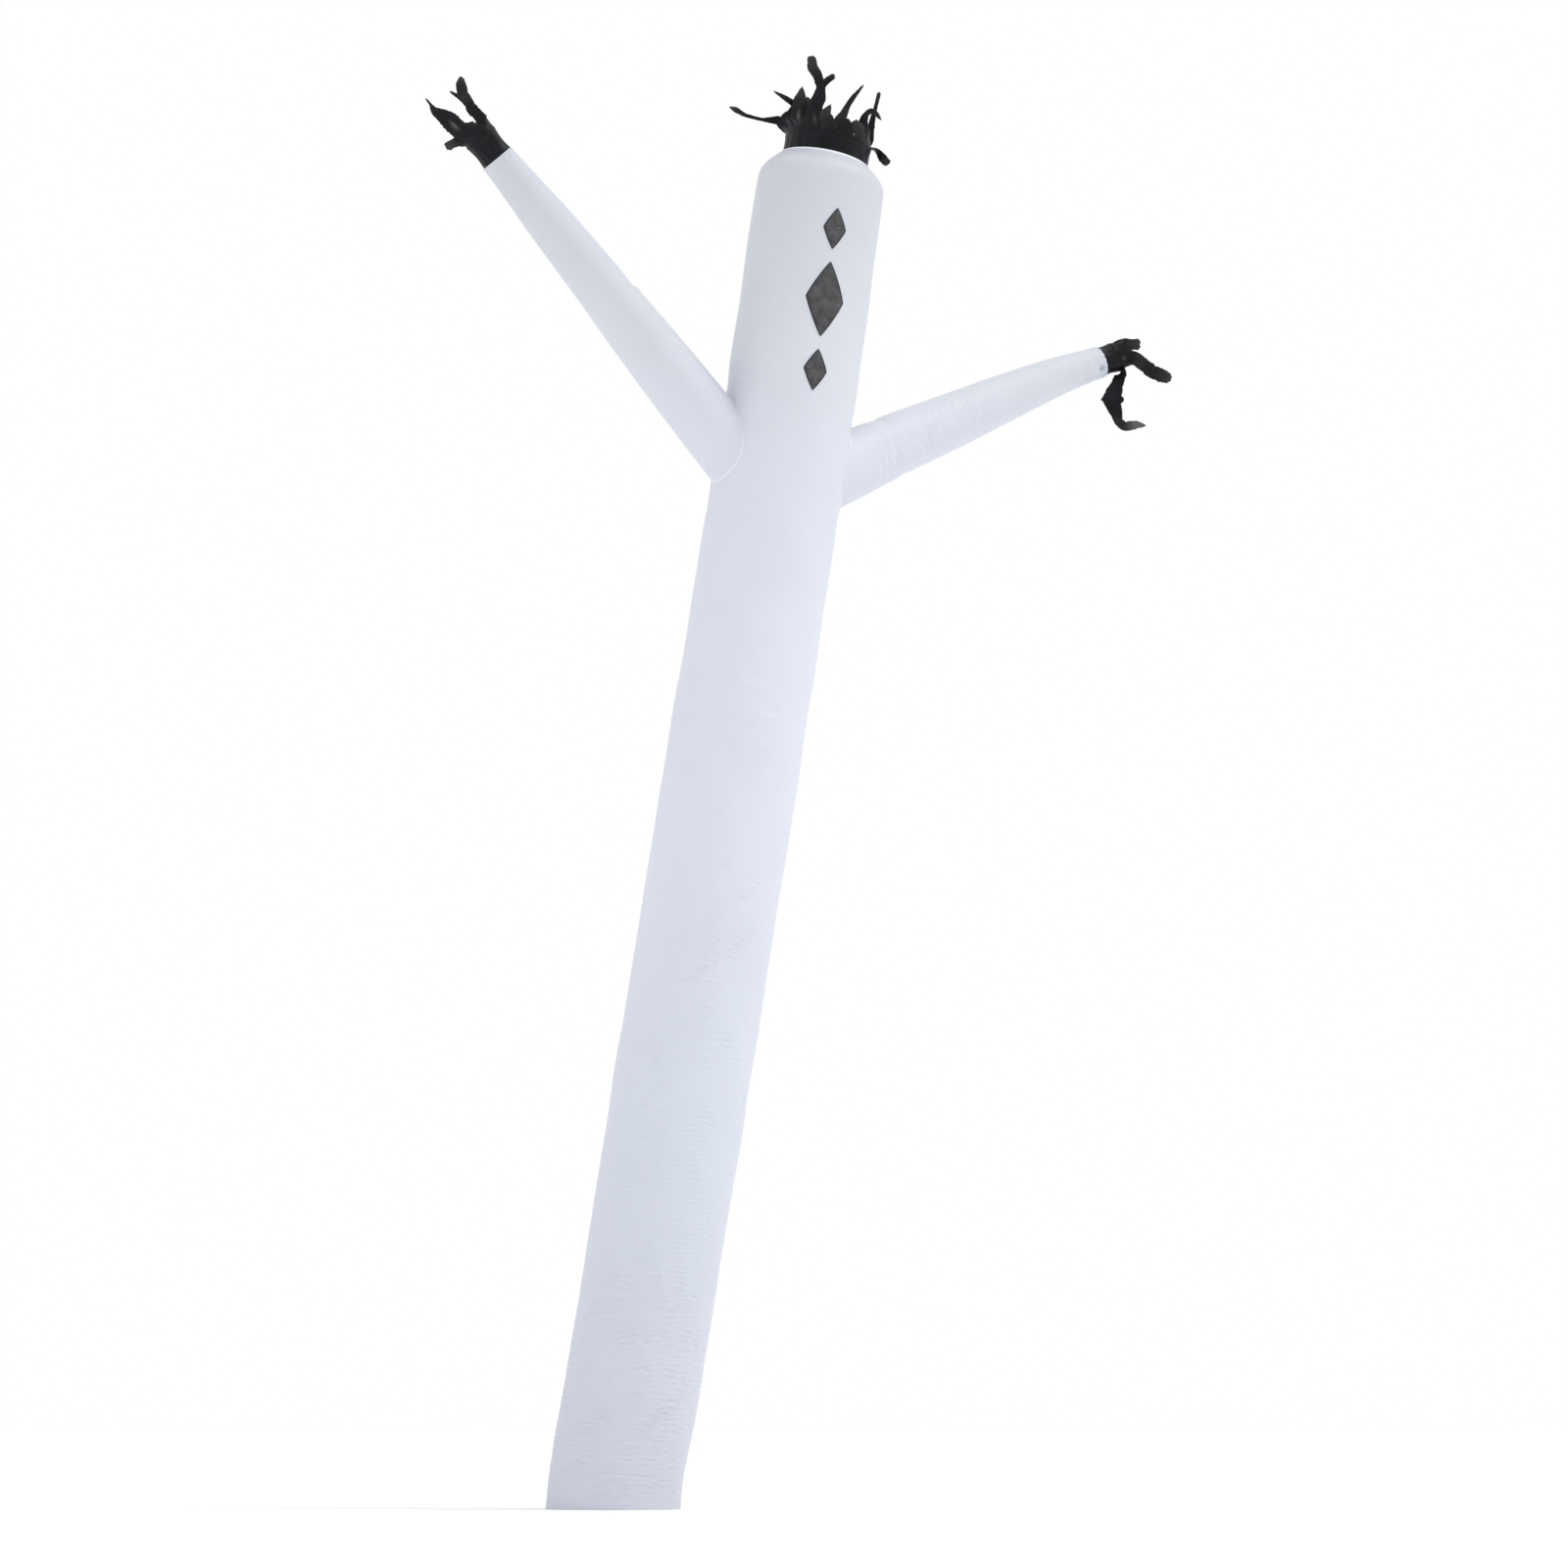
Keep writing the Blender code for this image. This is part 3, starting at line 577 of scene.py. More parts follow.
def make_white_nylon():
    """White ripstop, with the creases that are too fine for the mesh."""
    made, tree, shader = new_material("coated_ripstop_nylon_white")
    place = add_node(tree, "ShaderNodeTexCoord").outputs["Object"]
    cloth = add_node(tree, "ShaderNodeUVMap", uv_map=UV_NAME).outputs["UV"]
    height = add_node(tree, "ShaderNodeSeparateXYZ", {0: place}).outputs["Z"]
    # Painted shade: the tints by height darken the cloth toward the foot and toward the crown.
    ramp = add_node(tree, "ShaderNodeValToRGB",
                    {"Fac": remap(tree, height, from_high=TINT_HEIGHT)})
    elements = ramp.color_ramp.elements
    while len(elements) < len(WHITE_AND_PAINTED_SHADE_TINTS):
        elements.new(0.5)
    for element, (position, colour) in zip(elements, WHITE_AND_PAINTED_SHADE_TINTS):
        element.position = position
        element.color = linear(colour)
    # Broad, faint clouds of dust.
    clouds = noise(tree, place, 3.0, Detail=4.0, Roughness=0.6)
    cloudy = remap(tree, clouds, 0.35, 0.75, 1.0, 0.965)
    painted_shade_and_dust = mix(tree, 1.0, ramp.outputs["Color"], cloudy, "MULTIPLY")
    # A hem is two or three layers of cloth, so less light goes through it and it looks whiter. Its
    # paler tint is partly that and partly a painted highlight on the rolled hem and the root seams.
    hemmed = mix(tree, kept(tree, "hem"), painted_shade_and_dust, linear(HEM_AND_HIGHLIGHT_COLOUR))
    # Stains, and a darker tone all over the arms.
    coloured = mix(tree, kept(tree, "stain"), hemmed, linear(STAIN_COLOUR))
    # Satin coating, worn a little unevenly.
    worn = noise(tree, cloth, 22.0, Detail=3.0)
    fill(tree, shader, {"Base Color": coloured, "Roughness": remap(tree, worn, 0, 1, 0.46, 0.64),
                        "IOR": NYLON_IOR, "Specular IOR Level": 0.35,
                        "Sheen Weight": 0.08, "Sheen Roughness": 0.4})
    # The finest crinkles run level round the tube, with sharp crests: a ridged noise, squeezed.
    over = add_node(tree, "ShaderNodeSeparateXYZ", {0: cloth}).outputs["X"]
    flat = add_node(tree, "ShaderNodeCombineXYZ", {"X": over, "Y": kept(tree, "level")}).outputs[0]
    squeezed = add_node(tree, "ShaderNodeMapping", {"Vector": flat,
                                                    "Scale": FINE_CRINKLES}).outputs[0]
    fine = add_node(tree, "ShaderNodeTexNoise", {"Vector": squeezed, "Scale": 1.0, "Detail": 2.0,
                                                 "Roughness": 0.5, "Offset": 0.8, "Gain": 1.6,
                                                 "Distortion": 0.9},
                    noise_type="RIDGED_MULTIFRACTAL").outputs["Fac"]
    # Between the pressed creases the cloth ripples in small groups, a few waves side by side.
    ripple = add_node(tree, "ShaderNodeTexWave", {
        "Vector": flat, "Scale": WAVE_PERIOD / RIPPLE_PITCH, "Distortion": 4.5, "Detail": 1.0,
        "Detail Scale": 0.6}, bands_direction="Y").outputs["Fac"]
    spread = add_node(tree, "ShaderNodeMapping", {"Vector": flat,
                                                  "Scale": RIPPLE_GROUPS}).outputs[0]
    grouped = remap(tree, noise(tree, spread, 1.0, Detail=1.0), 0.42, 0.66)
    rippled = add_node(tree, "ShaderNodeMath", {0: ripple, 1: grouped},
                       operation="MULTIPLY").outputs[0]
    uneven = add_node(tree, "ShaderNodeMath", {0: fine, 1: FINE_SHARE, 2: rippled},
                      operation="MULTIPLY_ADD").outputs[0]
    crinkled = add_node(tree, "ShaderNodeMath", {0: uneven, 1: kept(tree, "crinkle")},
                        operation="MULTIPLY").outputs[0]
    grid = add_node(tree, "ShaderNodeTexBrick", {
        "Vector": cloth, "Scale": 1.0, "Mortar Size": RIPSTOP_PITCH * 0.06,
        "Mortar Smooth": 0.6, "Brick Width": RIPSTOP_PITCH, "Row Height": RIPSTOP_PITCH},
        offset=0.0, squash=1.0).outputs["Fac"]
    threads = noise(tree, cloth, 1 / THREAD_PITCH, Detail=1.0)
    raise_bumps(tree, shader, (crinkled, 0.5, CRINKLE_HEIGHT), (grid, 0.25, GRID_HEIGHT),
                (threads, 0.2, WEAVE_HEIGHT))
    return made


white_nylon = make_white_nylon()
print("white nylon:", len(white_nylon.node_tree.nodes), "nodes")

# %% [markdown]
# ## The body
#
# One width of cloth, about 1.5 m wide, wraps the whole body and is closed by a lapped seam up
# its back. The foot is hemmed and stands on the blower's collar. The crown draws in to a smaller
# rim with a rolled hem. The grid has its closest rows near the foot, where the crinkles are.

# %% Body creases
FRONT_STEP = 2.3             # degrees between columns where the crinkles show
SIDE_STEP = 4.0              # degrees between columns beside them
BACK_STEP = 6.0              # degrees between columns elsewhere
SIDE = (150.0, 196.0)        # degrees round the body
FRONT = (SIDE[1], 348.0)
SEAM_AROUND = 92.0           # where the lapped seam runs up the back
SEAM_HALF = 1.4              # degrees from its middle to its edge
SEAM_COLUMNS = (-1.0, -0.6, 0.6, 1.0)  # columns of the grid, as shares of that
SEAM_TOP = 0.8               # the share within which the overlapping layer stands up
SEAM_STEP = 0.0009           # m, how far it stands up
SEAM_FADE = 0.03             # m over which it ends below the crown
BODY_RADIUS = 0.23           # m, about, for turning degrees into metres
BODY_ROWS = rows_of((1.4, 0.0038), (1.55, 0.0062), (2.25, 0.0045), (2.9, 0.0062), (4.69, 0.0125),
                    (BODY_LENGTH, 0.003))
INNER_ROWS = 34
CLOTH_AT_RIM = 0.0012        # m between the two faces at a rim
CLOTH_INSIDE = 0.0050        # m between them elsewhere, clear of the deepest crease
RIM_FADE = 0.030             # m over which the inner face moves out to a rim
FOOT_FADE = 0.012            # m over which the relief dies out toward the foot
FOOT_LEAST = 0.25            # the share of it that is left there
CROWN_FADE = 0.035           # the same two for the crown
CROWN_LEAST = 0.2
HEM_HEIGHT = 0.020
HEM_STEP = 0.0007
HEM_FADE = 0.0012
ROLL_HEIGHT = 0.0095         # m, the rolled hem at the crown
ROLL_STEP = 0.0022
GROOVE_DEPTH = 0.0008        # m, where the thread draws the cloth in under that hem
GROOVE_BELOW = 0.004
GROOVE_WIDTH = 0.003
BODY_LEAN = 9.8              # degrees that the body leans toward +X

# How many crinkles there are round the body, from none at 0 to many at 1.
BODY_STRENGTHS = ((0, 0.7), (60, 0.8), (140, 0.7), (165, 0.30), (195, 0.40), (215, 0.70),
                  (235, 1.0), (270, 1.0), (295, 0.75), (325, 0.55), (345, 0.6), (360, 0.7))
BODY_ZONES = (Zone(0.01, 0.30, 150, 0.062, 0.0165, 0.0015, 0),
              Zone(0.30, 0.80, 210, 0.054, 0.0165, 0.0014, -2),
              Zone(0.80, 1.70, 300, 0.042, 0.0165, 0.0011, -5),
              Zone(1.70, 2.70, 190, 0.038, 0.0175, 0.0009, -9),
              Zone(2.70, 3.60, 60, 0.040, 0.0200, 0.0006, -10),
              Zone(3.60, 4.66, 26, 0.050, 0.0220, 0.0004, 0))
MAIN_GROUPS = (
    Group(0.020, 248, 2, 0.012, -2, 0.11, 0.0045, 0.0030, 6),
    Group(0.045, 250, 2, 0.011, 6, 0.08, 0.0045, 0.0032, 2),
    Group(0.055, 306, 2, 0.012, 2, 0.05, 0.0040, 0.0030, 22),
    Group(0.065, 238, 1, 0.000, 0, 0.12, 0.0045, 0.0020, 8),
    Group(0.090, 238, 2, 0.012, 4, 0.11, 0.0045, 0.0034, 3),
    Group(0.090, 264, 2, 0.012, 2, 0.07, 0.0040, 0.0022, 10),
    Group(0.095, 216, 3, 0.014, 2, 0.06, 0.0045, 0.0018, 10),
    Group(0.110, 296, 3, 0.014, 0, 0.06, 0.0040, 0.0016, 8),
    Group(0.150, 248, 2, 0.014, 2, 0.07, 0.0045, 0.0022, 10),
    Group(0.165, 218, 3, 0.016, 2, 0.06, 0.0045, 0.0016, 8),
    Group(0.185, 256, 3, 0.012, 2, 0.05, 0.0040, 0.0028, 8),
    Group(0.215, 254, 2, 0.012, -2, 0.12, 0.0045, 0.0032, 8),
    Group(0.235, 280, 3, 0.014, 0, 0.05, 0.0040, 0.0018, 10),
    Group(0.260, 268, 2, 0.012, 0, 0.06, 0.0040, 0.0026, 8),
    Group(0.275, 256, 3, 0.011, 2, 0.07, 0.0045, 0.0034, 4),
    Group(0.305, 262, 2, 0.013, 0, 0.05, 0.0040, 0.0028, 8),
    Group(0.330, 278, 4, 0.014, 0, 0.06, 0.0040, 0.0020, 8),
    Group(0.340, 296, 3, 0.014, 0, 0.05, 0.0040, 0.0016, 8),
    Group(0.345, 248, 4, 0.011, 1, 0.05, 0.0045, 0.0034, -2),
    Group(0.345, 238, 3, 0.013, 0, 0.05, 0.0040, 0.0024, 18),
    Group(0.385, 236, 3, 0.013, 2, 0.07, 0.0045, 0.0020, 8),
    Group(0.455, 254, 2, 0.011, -1, 0.05, 0.0045, 0.0034, 12),
    Group(0.480, 248, 2, 0.013, 0, 0.05, 0.0040, 0.0024, 8),
    Group(0.545, 252, 3, 0.011, -3, 0.05, 0.0045, 0.0034, -2),
    Group(0.545, 276, 3, 0.013, 0, 0.06, 0.0040, 0.0018, 8),
    Group(0.575, 248, 3, 0.013, 0, 0.06, 0.0040, 0.0020, 8),
    Group(0.700, 280, 3, 0.016, 2, 0.06, 0.0040, 0.0024, 4),
    Group(0.860, 236, 3, 0.016, 3, 0.05, 0.0045, 0.0022, 2),
    Group(0.960, 286, 3, 0.016, 1, 0.05, 0.0045, 0.0022, 0),
    Group(1.200, 262, 3, 0.016, 2, 0.05, 0.0045, 0.0022, -4),
    Group(1.390, 296, 3, 0.015, 2, 0.05, 0.0045, 0.0022, -4),
    Group(1.595, 276, 2, 0.013, 2, 0.05, 0.0045, 0.0026, 0),
    Group(1.675, 256, 3, 0.013, 2, 0.05, 0.0045, 0.0030, -6),
    Group(1.730, 294, 3, 0.013, 2, 0.05, 0.0045, 0.0028, -10),
    Group(1.790, 240, 2, 0.013, 3, 0.04, 0.0045, 0.0026, 0),
    Group(1.820, 248, 4, 0.013, 2, 0.04, 0.0045, 0.0032, -20),
    Group(1.865, 258, 3, 0.013, 2, 0.04, 0.0045, 0.0032, -16),
    Group(1.910, 274, 3, 0.013, 1, 0.05, 0.0045, 0.0032, -6),
    Group(1.920, 252, 3, 0.013, 2, 0.04, 0.0045, 0.0026, -20),
    Group(1.955, 282, 4, 0.013, 2, 0.05, 0.0045, 0.0030, -6),
    Group(2.080, 270, 3, 0.013, 1, 0.04, 0.0045, 0.0026, 0),
    Group(2.120, 278, 4, 0.013, 3, 0.04, 0.0045, 0.0032, -26),
    Group(2.200, 252, 3, 0.013, 3, 0.04, 0.0045, 0.0030, -16),
    Group(2.645, 276, 3, 0.015, 0, 0.04, 0.0065, 0.0022, 8),
    Group(2.750, 274, 3, 0.014, 0, 0.05, 0.0065, 0.0026, 8),
    Group(2.845, 250, 3, 0.014, 1, 0.05, 0.0065, 0.0026, 8),
    Group(2.950, 252, 3, 0.014, 1, 0.05, 0.0065, 0.0024, 8),
    Group(4.769, 300, 1, 0.000, 0, 0.06, 0.0050, 0.0016, 26),
)

arounds = np.unique(np.concatenate([
    np.arange(0, SIDE[0], BACK_STEP), np.arange(*SIDE, SIDE_STEP), np.arange(*FRONT, FRONT_STEP),
    np.arange(FRONT[1], 360, BACK_STEP), SEAM_AROUND + SEAM_HALF * np.array(SEAM_COLUMNS)]))
BODY_SIDES = len(arounds)
relief = np.zeros((len(BODY_ROWS), BODY_SIDES))
pressed = crinkle(relief, BODY_ROWS, arounds, BODY_RADIUS, BODY_ZONES, BODY_STRENGTHS,
                  BODY_LEAN)
press_groups(relief, BODY_ROWS, arounds, BODY_RADIUS, MAIN_GROUPS)
print("body grid: %d rows of %d" % relief.shape)
print("creases pressed into the body:", pressed + sum(group.count for group in MAIN_GROUPS))

# %% Body surface
def cloth_depth(alongs, low, high, inside):
    """How far in the inner face lies: it moves out to each rim, where the cloth is seen edge on."""
    from_rim = np.minimum(alongs - low, high - alongs)
    return CLOTH_AT_RIM + (inside - CLOTH_AT_RIM) * np.clip(from_rim / RIM_FADE, 0, 1)


# Broad, shallow waves keep the sides from being ruler straight, as the air never fills it evenly.
Wave = namedtuple("Wave", "turns per_metre height shift")
WAVES = (Wave(2, 0.9, 0.0010, 0.4), Wave(3, 1.7, 0.0008, 2.1), Wave(1, 3.1, 0.0007, 1.0),
         Wave(5, 2.3, 0.0006, 4.0))

row_alongs = BODY_ROWS[:, None]
row_turns = np.radians(arounds)[None]
for wave in WAVES:
    relief += wave.height * np.sin(
        wave.turns * row_turns + wave.per_metre * 2 * math.pi * row_alongs + wave.shift)
# Both rims are sewn flat, so the relief dies out there. The hems are a second layer of cloth.
from_rim = BODY_LENGTH - row_alongs
relief *= (np.clip(row_alongs / FOOT_FADE, FOOT_LEAST, 1)
           * np.clip(from_rim / CROWN_FADE, CROWN_LEAST, 1))
relief = hold(relief, cloth_depth(row_alongs, 0.0, BODY_LENGTH, CLOTH_INSIDE))
relief += HEM_STEP / (1 + np.exp((row_alongs - HEM_HEIGHT) / HEM_FADE))
roll = np.exp(-((from_rim - ROLL_HEIGHT / 2) / (ROLL_HEIGHT / 2)) ** 4)
relief += ROLL_STEP * roll
relief -= GROOVE_DEPTH * np.exp(-((from_rim - ROLL_HEIGHT - GROOVE_BELOW) / GROOVE_WIDTH) ** 2)
on_seam = np.abs(arounds - SEAM_AROUND) < SEAM_TOP * SEAM_HALF
relief += SEAM_STEP * on_seam * np.clip(from_rim / SEAM_FADE, 0, 1)

inner_alongs = BODY_LENGTH * end_weighted(INNER_ROWS)[:, None]
inner_depth = cloth_depth(inner_alongs, 0.0, BODY_LENGTH, CLOTH_INSIDE)
body_girth = 2 * math.pi * max(row.radius for row in BODY_WIDTHS)
body_grid = body.place(row_alongs, arounds[None], relief)
body_cloth = make_tube(
    "body_cloth", body_grid,
    body.place(inner_alongs, arounds[None], -inner_depth),
    tube_uv(row_alongs, arounds[None], body_girth),
    tube_uv(inner_alongs, arounds[None], body_girth), body_girth, white_nylon)


def set_both(made, name, outer, inner=0.0):
    """Keep a number for each point of a tube: an array over its outer grid, one for its inner."""
    hidden = len(made.data.vertices) - outer.size
    set_attribute(made, name, np.concatenate([outer.ravel(), np.full(hidden, inner)]))


# How strong the material's own fine crinkles are, by height and by side.
BODY_CRINKLES = ((0, 1.0), (1.0, 0.8), (1.7, 0.6), (2.6, 0.3), (3.4, 0.12), (BODY_LENGTH, 0.08))
INNER_CRINKLES = 0.3         # and on the inner face
by_height = np.interp(BODY_ROWS, *zip(*BODY_CRINKLES))
by_side = np.interp(arounds, *zip(*BODY_STRENGTHS))
everywhere = np.ones(relief.shape)
set_both(body_cloth, "crinkle", by_height[:, None] * by_side[None], INNER_CRINKLES)
set_both(body_cloth, "level", body.place(row_alongs, arounds[None])[..., 2])
# The rolled hem at the crown is painted paler: partly its doubled cloth, partly a painted
# highlight.
set_both(body_cloth, "hem", roll * everywhere)
set_both(body_cloth, "stain", 0 * everywhere)
print("body:", triangles(body_cloth), "triangles")

# %% [markdown]
# ## The arms
#
# Each arm is a cone of the same nylon. Its wide end is cut to a saddle curve, so that it meets
# the round body all the way about, and is sewn there with a raised seam. The curve isn't drawn
# by hand: for each place round the arm, a search finds how far along the arm its cloth first
# comes clear of the body. A hole, a little smaller than the arm, lets the air pass.

# %% Arm tables
ARM_SEAT_ALONG = 3.710
ARM_INSET = 0.22
ARM_LENGTH = 1.25
ARM_SIDES = 80
ARM_ROWS = rows_of((0.024, 0.0020), (0.34, 0.0048), (1.18, 0.0075), (1.25, 0.0035)) / ARM_LENGTH
ARM_INNER_ROWS = 24
ARM_FIELD = np.linspace(-0.1, ARM_LENGTH, 300)  # places along an arm where creases are pressed
ARM_RADIUS = 0.10            # m, about, for turning degrees into metres
ARM_INSIDE = 0.0042          # m between the two faces away from the rims
WELT_HEIGHT = 0.0020         # m, the raised seam at an arm's root
WELT_WIDTH = 0.010
ROOT_CLEAR = 0.0004          # m between an arm's root and the body
LEFT_HEADINGS = (Heading(0.00, 173, 50.0), Heading(0.60, 174, 49.5), Heading(1.25, 174, 48.5))
LEFT_WIDTHS = (Width(-ARM_INSET, 0.112), Width(0.00, 0.115), Width(0.20, 0.112), Width(0.45, 0.104),
               Width(0.70, 0.091), Width(0.98, 0.079), Width(1.10, 0.070), Width(1.25, 0.061))
LEFT_DENTS = (Dent(0.640, 10, 0.050, 70, 0.006), Dent(0.130, 60, 0.060, 60, 0.005))
RIGHT_HEADINGS = (Heading(0.00, 22, 25.0), Heading(0.45, 13, 23.2), Heading(0.70, 9, 24.6),
                  Heading(1.00, 3, 23.6), Heading(1.15, 1, 20.5), Heading(1.25, -1, 20.0))
RIGHT_WIDTHS = (Width(-ARM_INSET, 0.114), Width(0.00, 0.119), Width(0.16, 0.115),
                Width(0.45, 0.104), Width(0.75, 0.090), Width(1.00, 0.074), Width(1.25, 0.056))
RIGHT_DENTS = (Dent(0.190, 300, 0.035, 60, 0.006), Dent(0.270, 330, 0.035, 70, 0.006),
               Dent(0.360, 310, 0.035, 60, 0.005), Dent(0.230, 200, 0.040, 60, 0.005))
LEFT_SEAT_AROUND = 180
RIGHT_SEAT_AROUND = 0
ARM_STRENGTHS = ((0, 0.6), (90, 0.5), (180, 0.5), (240, 0.9), (330, 1.0), (360, 0.6))
ARM_CRINKLES = ((0, 0.6), (0.4, 0.5), (0.9, 0.3), (1.1, 0.4), (1.25, 0.5))
LEFT_ZONES = (Zone(0.05, 1.20, 46, 0.045, 0.015, 0.0005, 0),
              Zone(1.02, 1.23, 30, 0.040, 0.013, 0.0010, 10))
RIGHT_ZONES = (Zone(0.08, 0.60, 90, 0.050, 0.017, 0.0016, 8),
               Zone(0.55, 1.15, 60, 0.042, 0.016, 0.0009, 12),
               Zone(1.08, 1.24, 40, 0.036, 0.013, 0.0018, 15))
LEFT_CREASES = (
    Crease(0.602, 336, 0.09, 0.010, 0.0030, 4), Crease(0.542, 308, 0.05, 0.006, 0.0016, 0),
    Crease(0.965, 250, 0.05, 0.005, 0.0020, 20), Crease(1.195, 262, 0.06, 0.005, 0.0020, -8))
RIGHT_CREASES = (
    Crease(0.095, 324, 0.09, 0.007, 0.0034, 10), Crease(0.120, 288, 0.10, 0.006, 0.0026, 4),
    Crease(0.176, 262, 0.07, 0.006, 0.0024, -6), Crease(0.171, 312, 0.09, 0.007, 0.0036, 8),
    Crease(0.225, 300, 0.08, 0.006, 0.0030, 12), Crease(0.286, 276, 0.07, 0.006, 0.0026, 0),
    Crease(0.326, 312, 0.09, 0.007, 0.0036, 10), Crease(0.350, 292, 0.07, 0.006, 0.0030, -8),
    Crease(0.427, 280, 0.06, 0.006, 0.0024, 6), Crease(0.507, 272, 0.06, 0.006, 0.0020, 10),
    Crease(0.633, 272, 0.05, 0.006, 0.0018, 0), Crease(0.924, 284, 0.05, 0.006, 0.0018, 12),
    Crease(1.150, 300, 0.06, 0.005, 0.0030, 20), Crease(1.190, 262, 0.05, 0.005, 0.0030, -14),
    Crease(1.215, 290, 0.05, 0.005, 0.0032, 10))



def arm_tube(seat_around, headings, widths, dents):
    """An arm's tube, which starts inside the body behind its seat."""
    seat = body.place(ARM_SEAT_ALONG, seat_around)
    heading = Tube(headings, widths, seat).frame(0.0)[3]
    return Tube(headings, widths, seat - heading * ARM_INSET, -ARM_INSET, dents)


left_arm = arm_tube(LEFT_SEAT_AROUND, LEFT_HEADINGS, LEFT_WIDTHS, LEFT_DENTS)
right_arm = arm_tube(RIGHT_SEAT_AROUND, RIGHT_HEADINGS, RIGHT_WIDTHS, RIGHT_DENTS)
print("arms end at", left_arm.centres[-1].round(3), "and", right_arm.centres[-1].round(3))

# %% Arm cloth
ARM_REACH = 0.35             # m; no part of an arm's root seam lies further out than this
SEARCH_STEPS = 28
ROOT_CALM = 0.03             # m over which the creases start beyond the root seam
ROOT_LEAST = 0.2             # the share of them that is left at it
GATHER_PLEATS = 17           # small pleats where an arm is drawn in to its cuff
GATHER_HEIGHT = 0.0012
GATHER_LENGTH = 0.045
WRIST_STEP = 0.0012          # m, how far the wrist's hem stands up
WRIST_HALF = 0.004           # m, half its width
ROOT_SEAM_HIGHLIGHT = 0.5               # how much of the hem's paler tint the root seam gets: partly doubled cloth, partly painted highlight


def root_curve(arm, around, out):
    """How far along an arm its cloth first clears the body, at each place round it."""
    inside = np.full(len(around), -ARM_INSET)
    clear = np.full(len(around), ARM_REACH)
    for _ in range(SEARCH_STEPS):
        middle = (inside + clear) / 2
        gap = body.locate(arm.place(middle, around, out))[2]
        clear = np.where(gap > ROOT_CLEAR, middle, clear)
        inside = np.where(gap > ROOT_CLEAR, inside, middle)
    return clear


def make_arm(name, arm, zones, creases, gather):
    """An arm of cloth from its saddle seam to its gathered wrist."""
    around = np.arange(ARM_SIDES) * 360 / ARM_SIDES
    field = np.zeros((len(ARM_FIELD), ARM_SIDES))
    crinkle(field, ARM_FIELD, around, ARM_RADIUS, zones, ARM_STRENGTHS)
    for crease in creases:
        press(field, ARM_FIELD, around, ARM_RADIUS, crease)
    root = root_curve(arm, around, WELT_HEIGHT)
    alongs = root[None] + (ARM_LENGTH - root[None]) * ARM_ROWS[:, None]
    out = np.stack([np.interp(alongs[:, step], ARM_FIELD, field[:, step])
                    for step in range(ARM_SIDES)], axis=1)
    out = hold(out * np.clip((alongs - root) / ROOT_CALM, ROOT_LEAST, 1),
               cloth_depth(alongs, root[None], ARM_LENGTH, ARM_INSIDE))
    welt = np.exp(-((alongs - root) / WELT_WIDTH) ** 2)
    out += WELT_HEIGHT * welt
    from_wrist = ARM_LENGTH - alongs
    turns = np.radians(around)[None]
    pleats = np.sin(turns * GATHER_PLEATS + 3 * np.sin(turns))
    out += gather * GATHER_HEIGHT * pleats * np.exp(-(from_wrist / GATHER_LENGTH) ** 2)
    out += WRIST_STEP * np.exp(-((from_wrist - WRIST_HALF) / WRIST_HALF) ** 4)
    inner_root = root_curve(arm, around, -CLOTH_AT_RIM)
    inner = (inner_root[None]
             + (ARM_LENGTH - inner_root[None]) * end_weighted(ARM_INNER_ROWS)[:, None])
    depth = cloth_depth(inner, inner_root[None], ARM_LENGTH, ARM_INSIDE)
    girth = 2 * math.pi * max(row.radius for row in arm.widths)
    grid = arm.place(alongs, around[None], out)
    made = make_tube(name, grid, arm.place(inner, around[None], -depth),
                     tube_uv(alongs, around[None], girth), tube_uv(inner, around[None], girth),
                     girth, white_nylon)
    strength = (np.interp(around, *zip(*ARM_STRENGTHS))[None]
                * np.interp(alongs, *zip(*ARM_CRINKLES)))
    set_both(made, "crinkle", strength, INNER_CRINKLES)
    set_both(made, "level", alongs)
    # The root seam is painted paler, partly for its doubled cloth and partly as a painted
    # highlight.
    set_both(made, "hem", ROOT_SEAM_HIGHLIGHT * welt)
    return made, alongs, around, grid


left_made, left_alongs, arm_arounds, left_grid = make_arm(
    "arm_left_cloth", left_arm, LEFT_ZONES, LEFT_CREASES, 0.6)
right_made, right_alongs, _, right_grid = make_arm(
    "arm_right_cloth", right_arm, RIGHT_ZONES, RIGHT_CREASES, 1.4)
print("arms:", triangles(left_made), "and", triangles(right_made), "triangles")

# %% Stains
# The end of an arm is knotted or trodden on now and then, which leaves a grey-blue mark.
Stain = namedtuple("Stain", "along around length arc depth")
ARM_GREY = 0.055              # how much greyer an arm is all over than the body
LEFT_STAINS = (Stain(1.235, 268, 0.030, 50, 0.10),)
RIGHT_STAINS = (Stain(1.226, 296, 0.014, 12, 0.75), Stain(1.235, 310, 0.020, 30, 0.20),
                Stain(1.170, 316, 0.030, 24, 0.10))


def add_stains(made, alongs, around, stains):
    """Give each point of a tube how stained it is."""
    dark = np.full(alongs.shape, ARM_GREY)
    for stain in stains:
        far = farness(alongs, around[None], stain)
        dark = np.maximum(dark, stain.depth * np.exp(-far ** 2))
    set_both(made, "stain", dark)


add_stains(left_made, left_alongs, arm_arounds, LEFT_STAINS)
add_stains(right_made, right_alongs, arm_arounds, RIGHT_STAINS)

# %% Armholes in the body
HOLE_INSET = 0.008           # m; how much smaller the hole is than the arm round it
HOLE_SIDES = 48


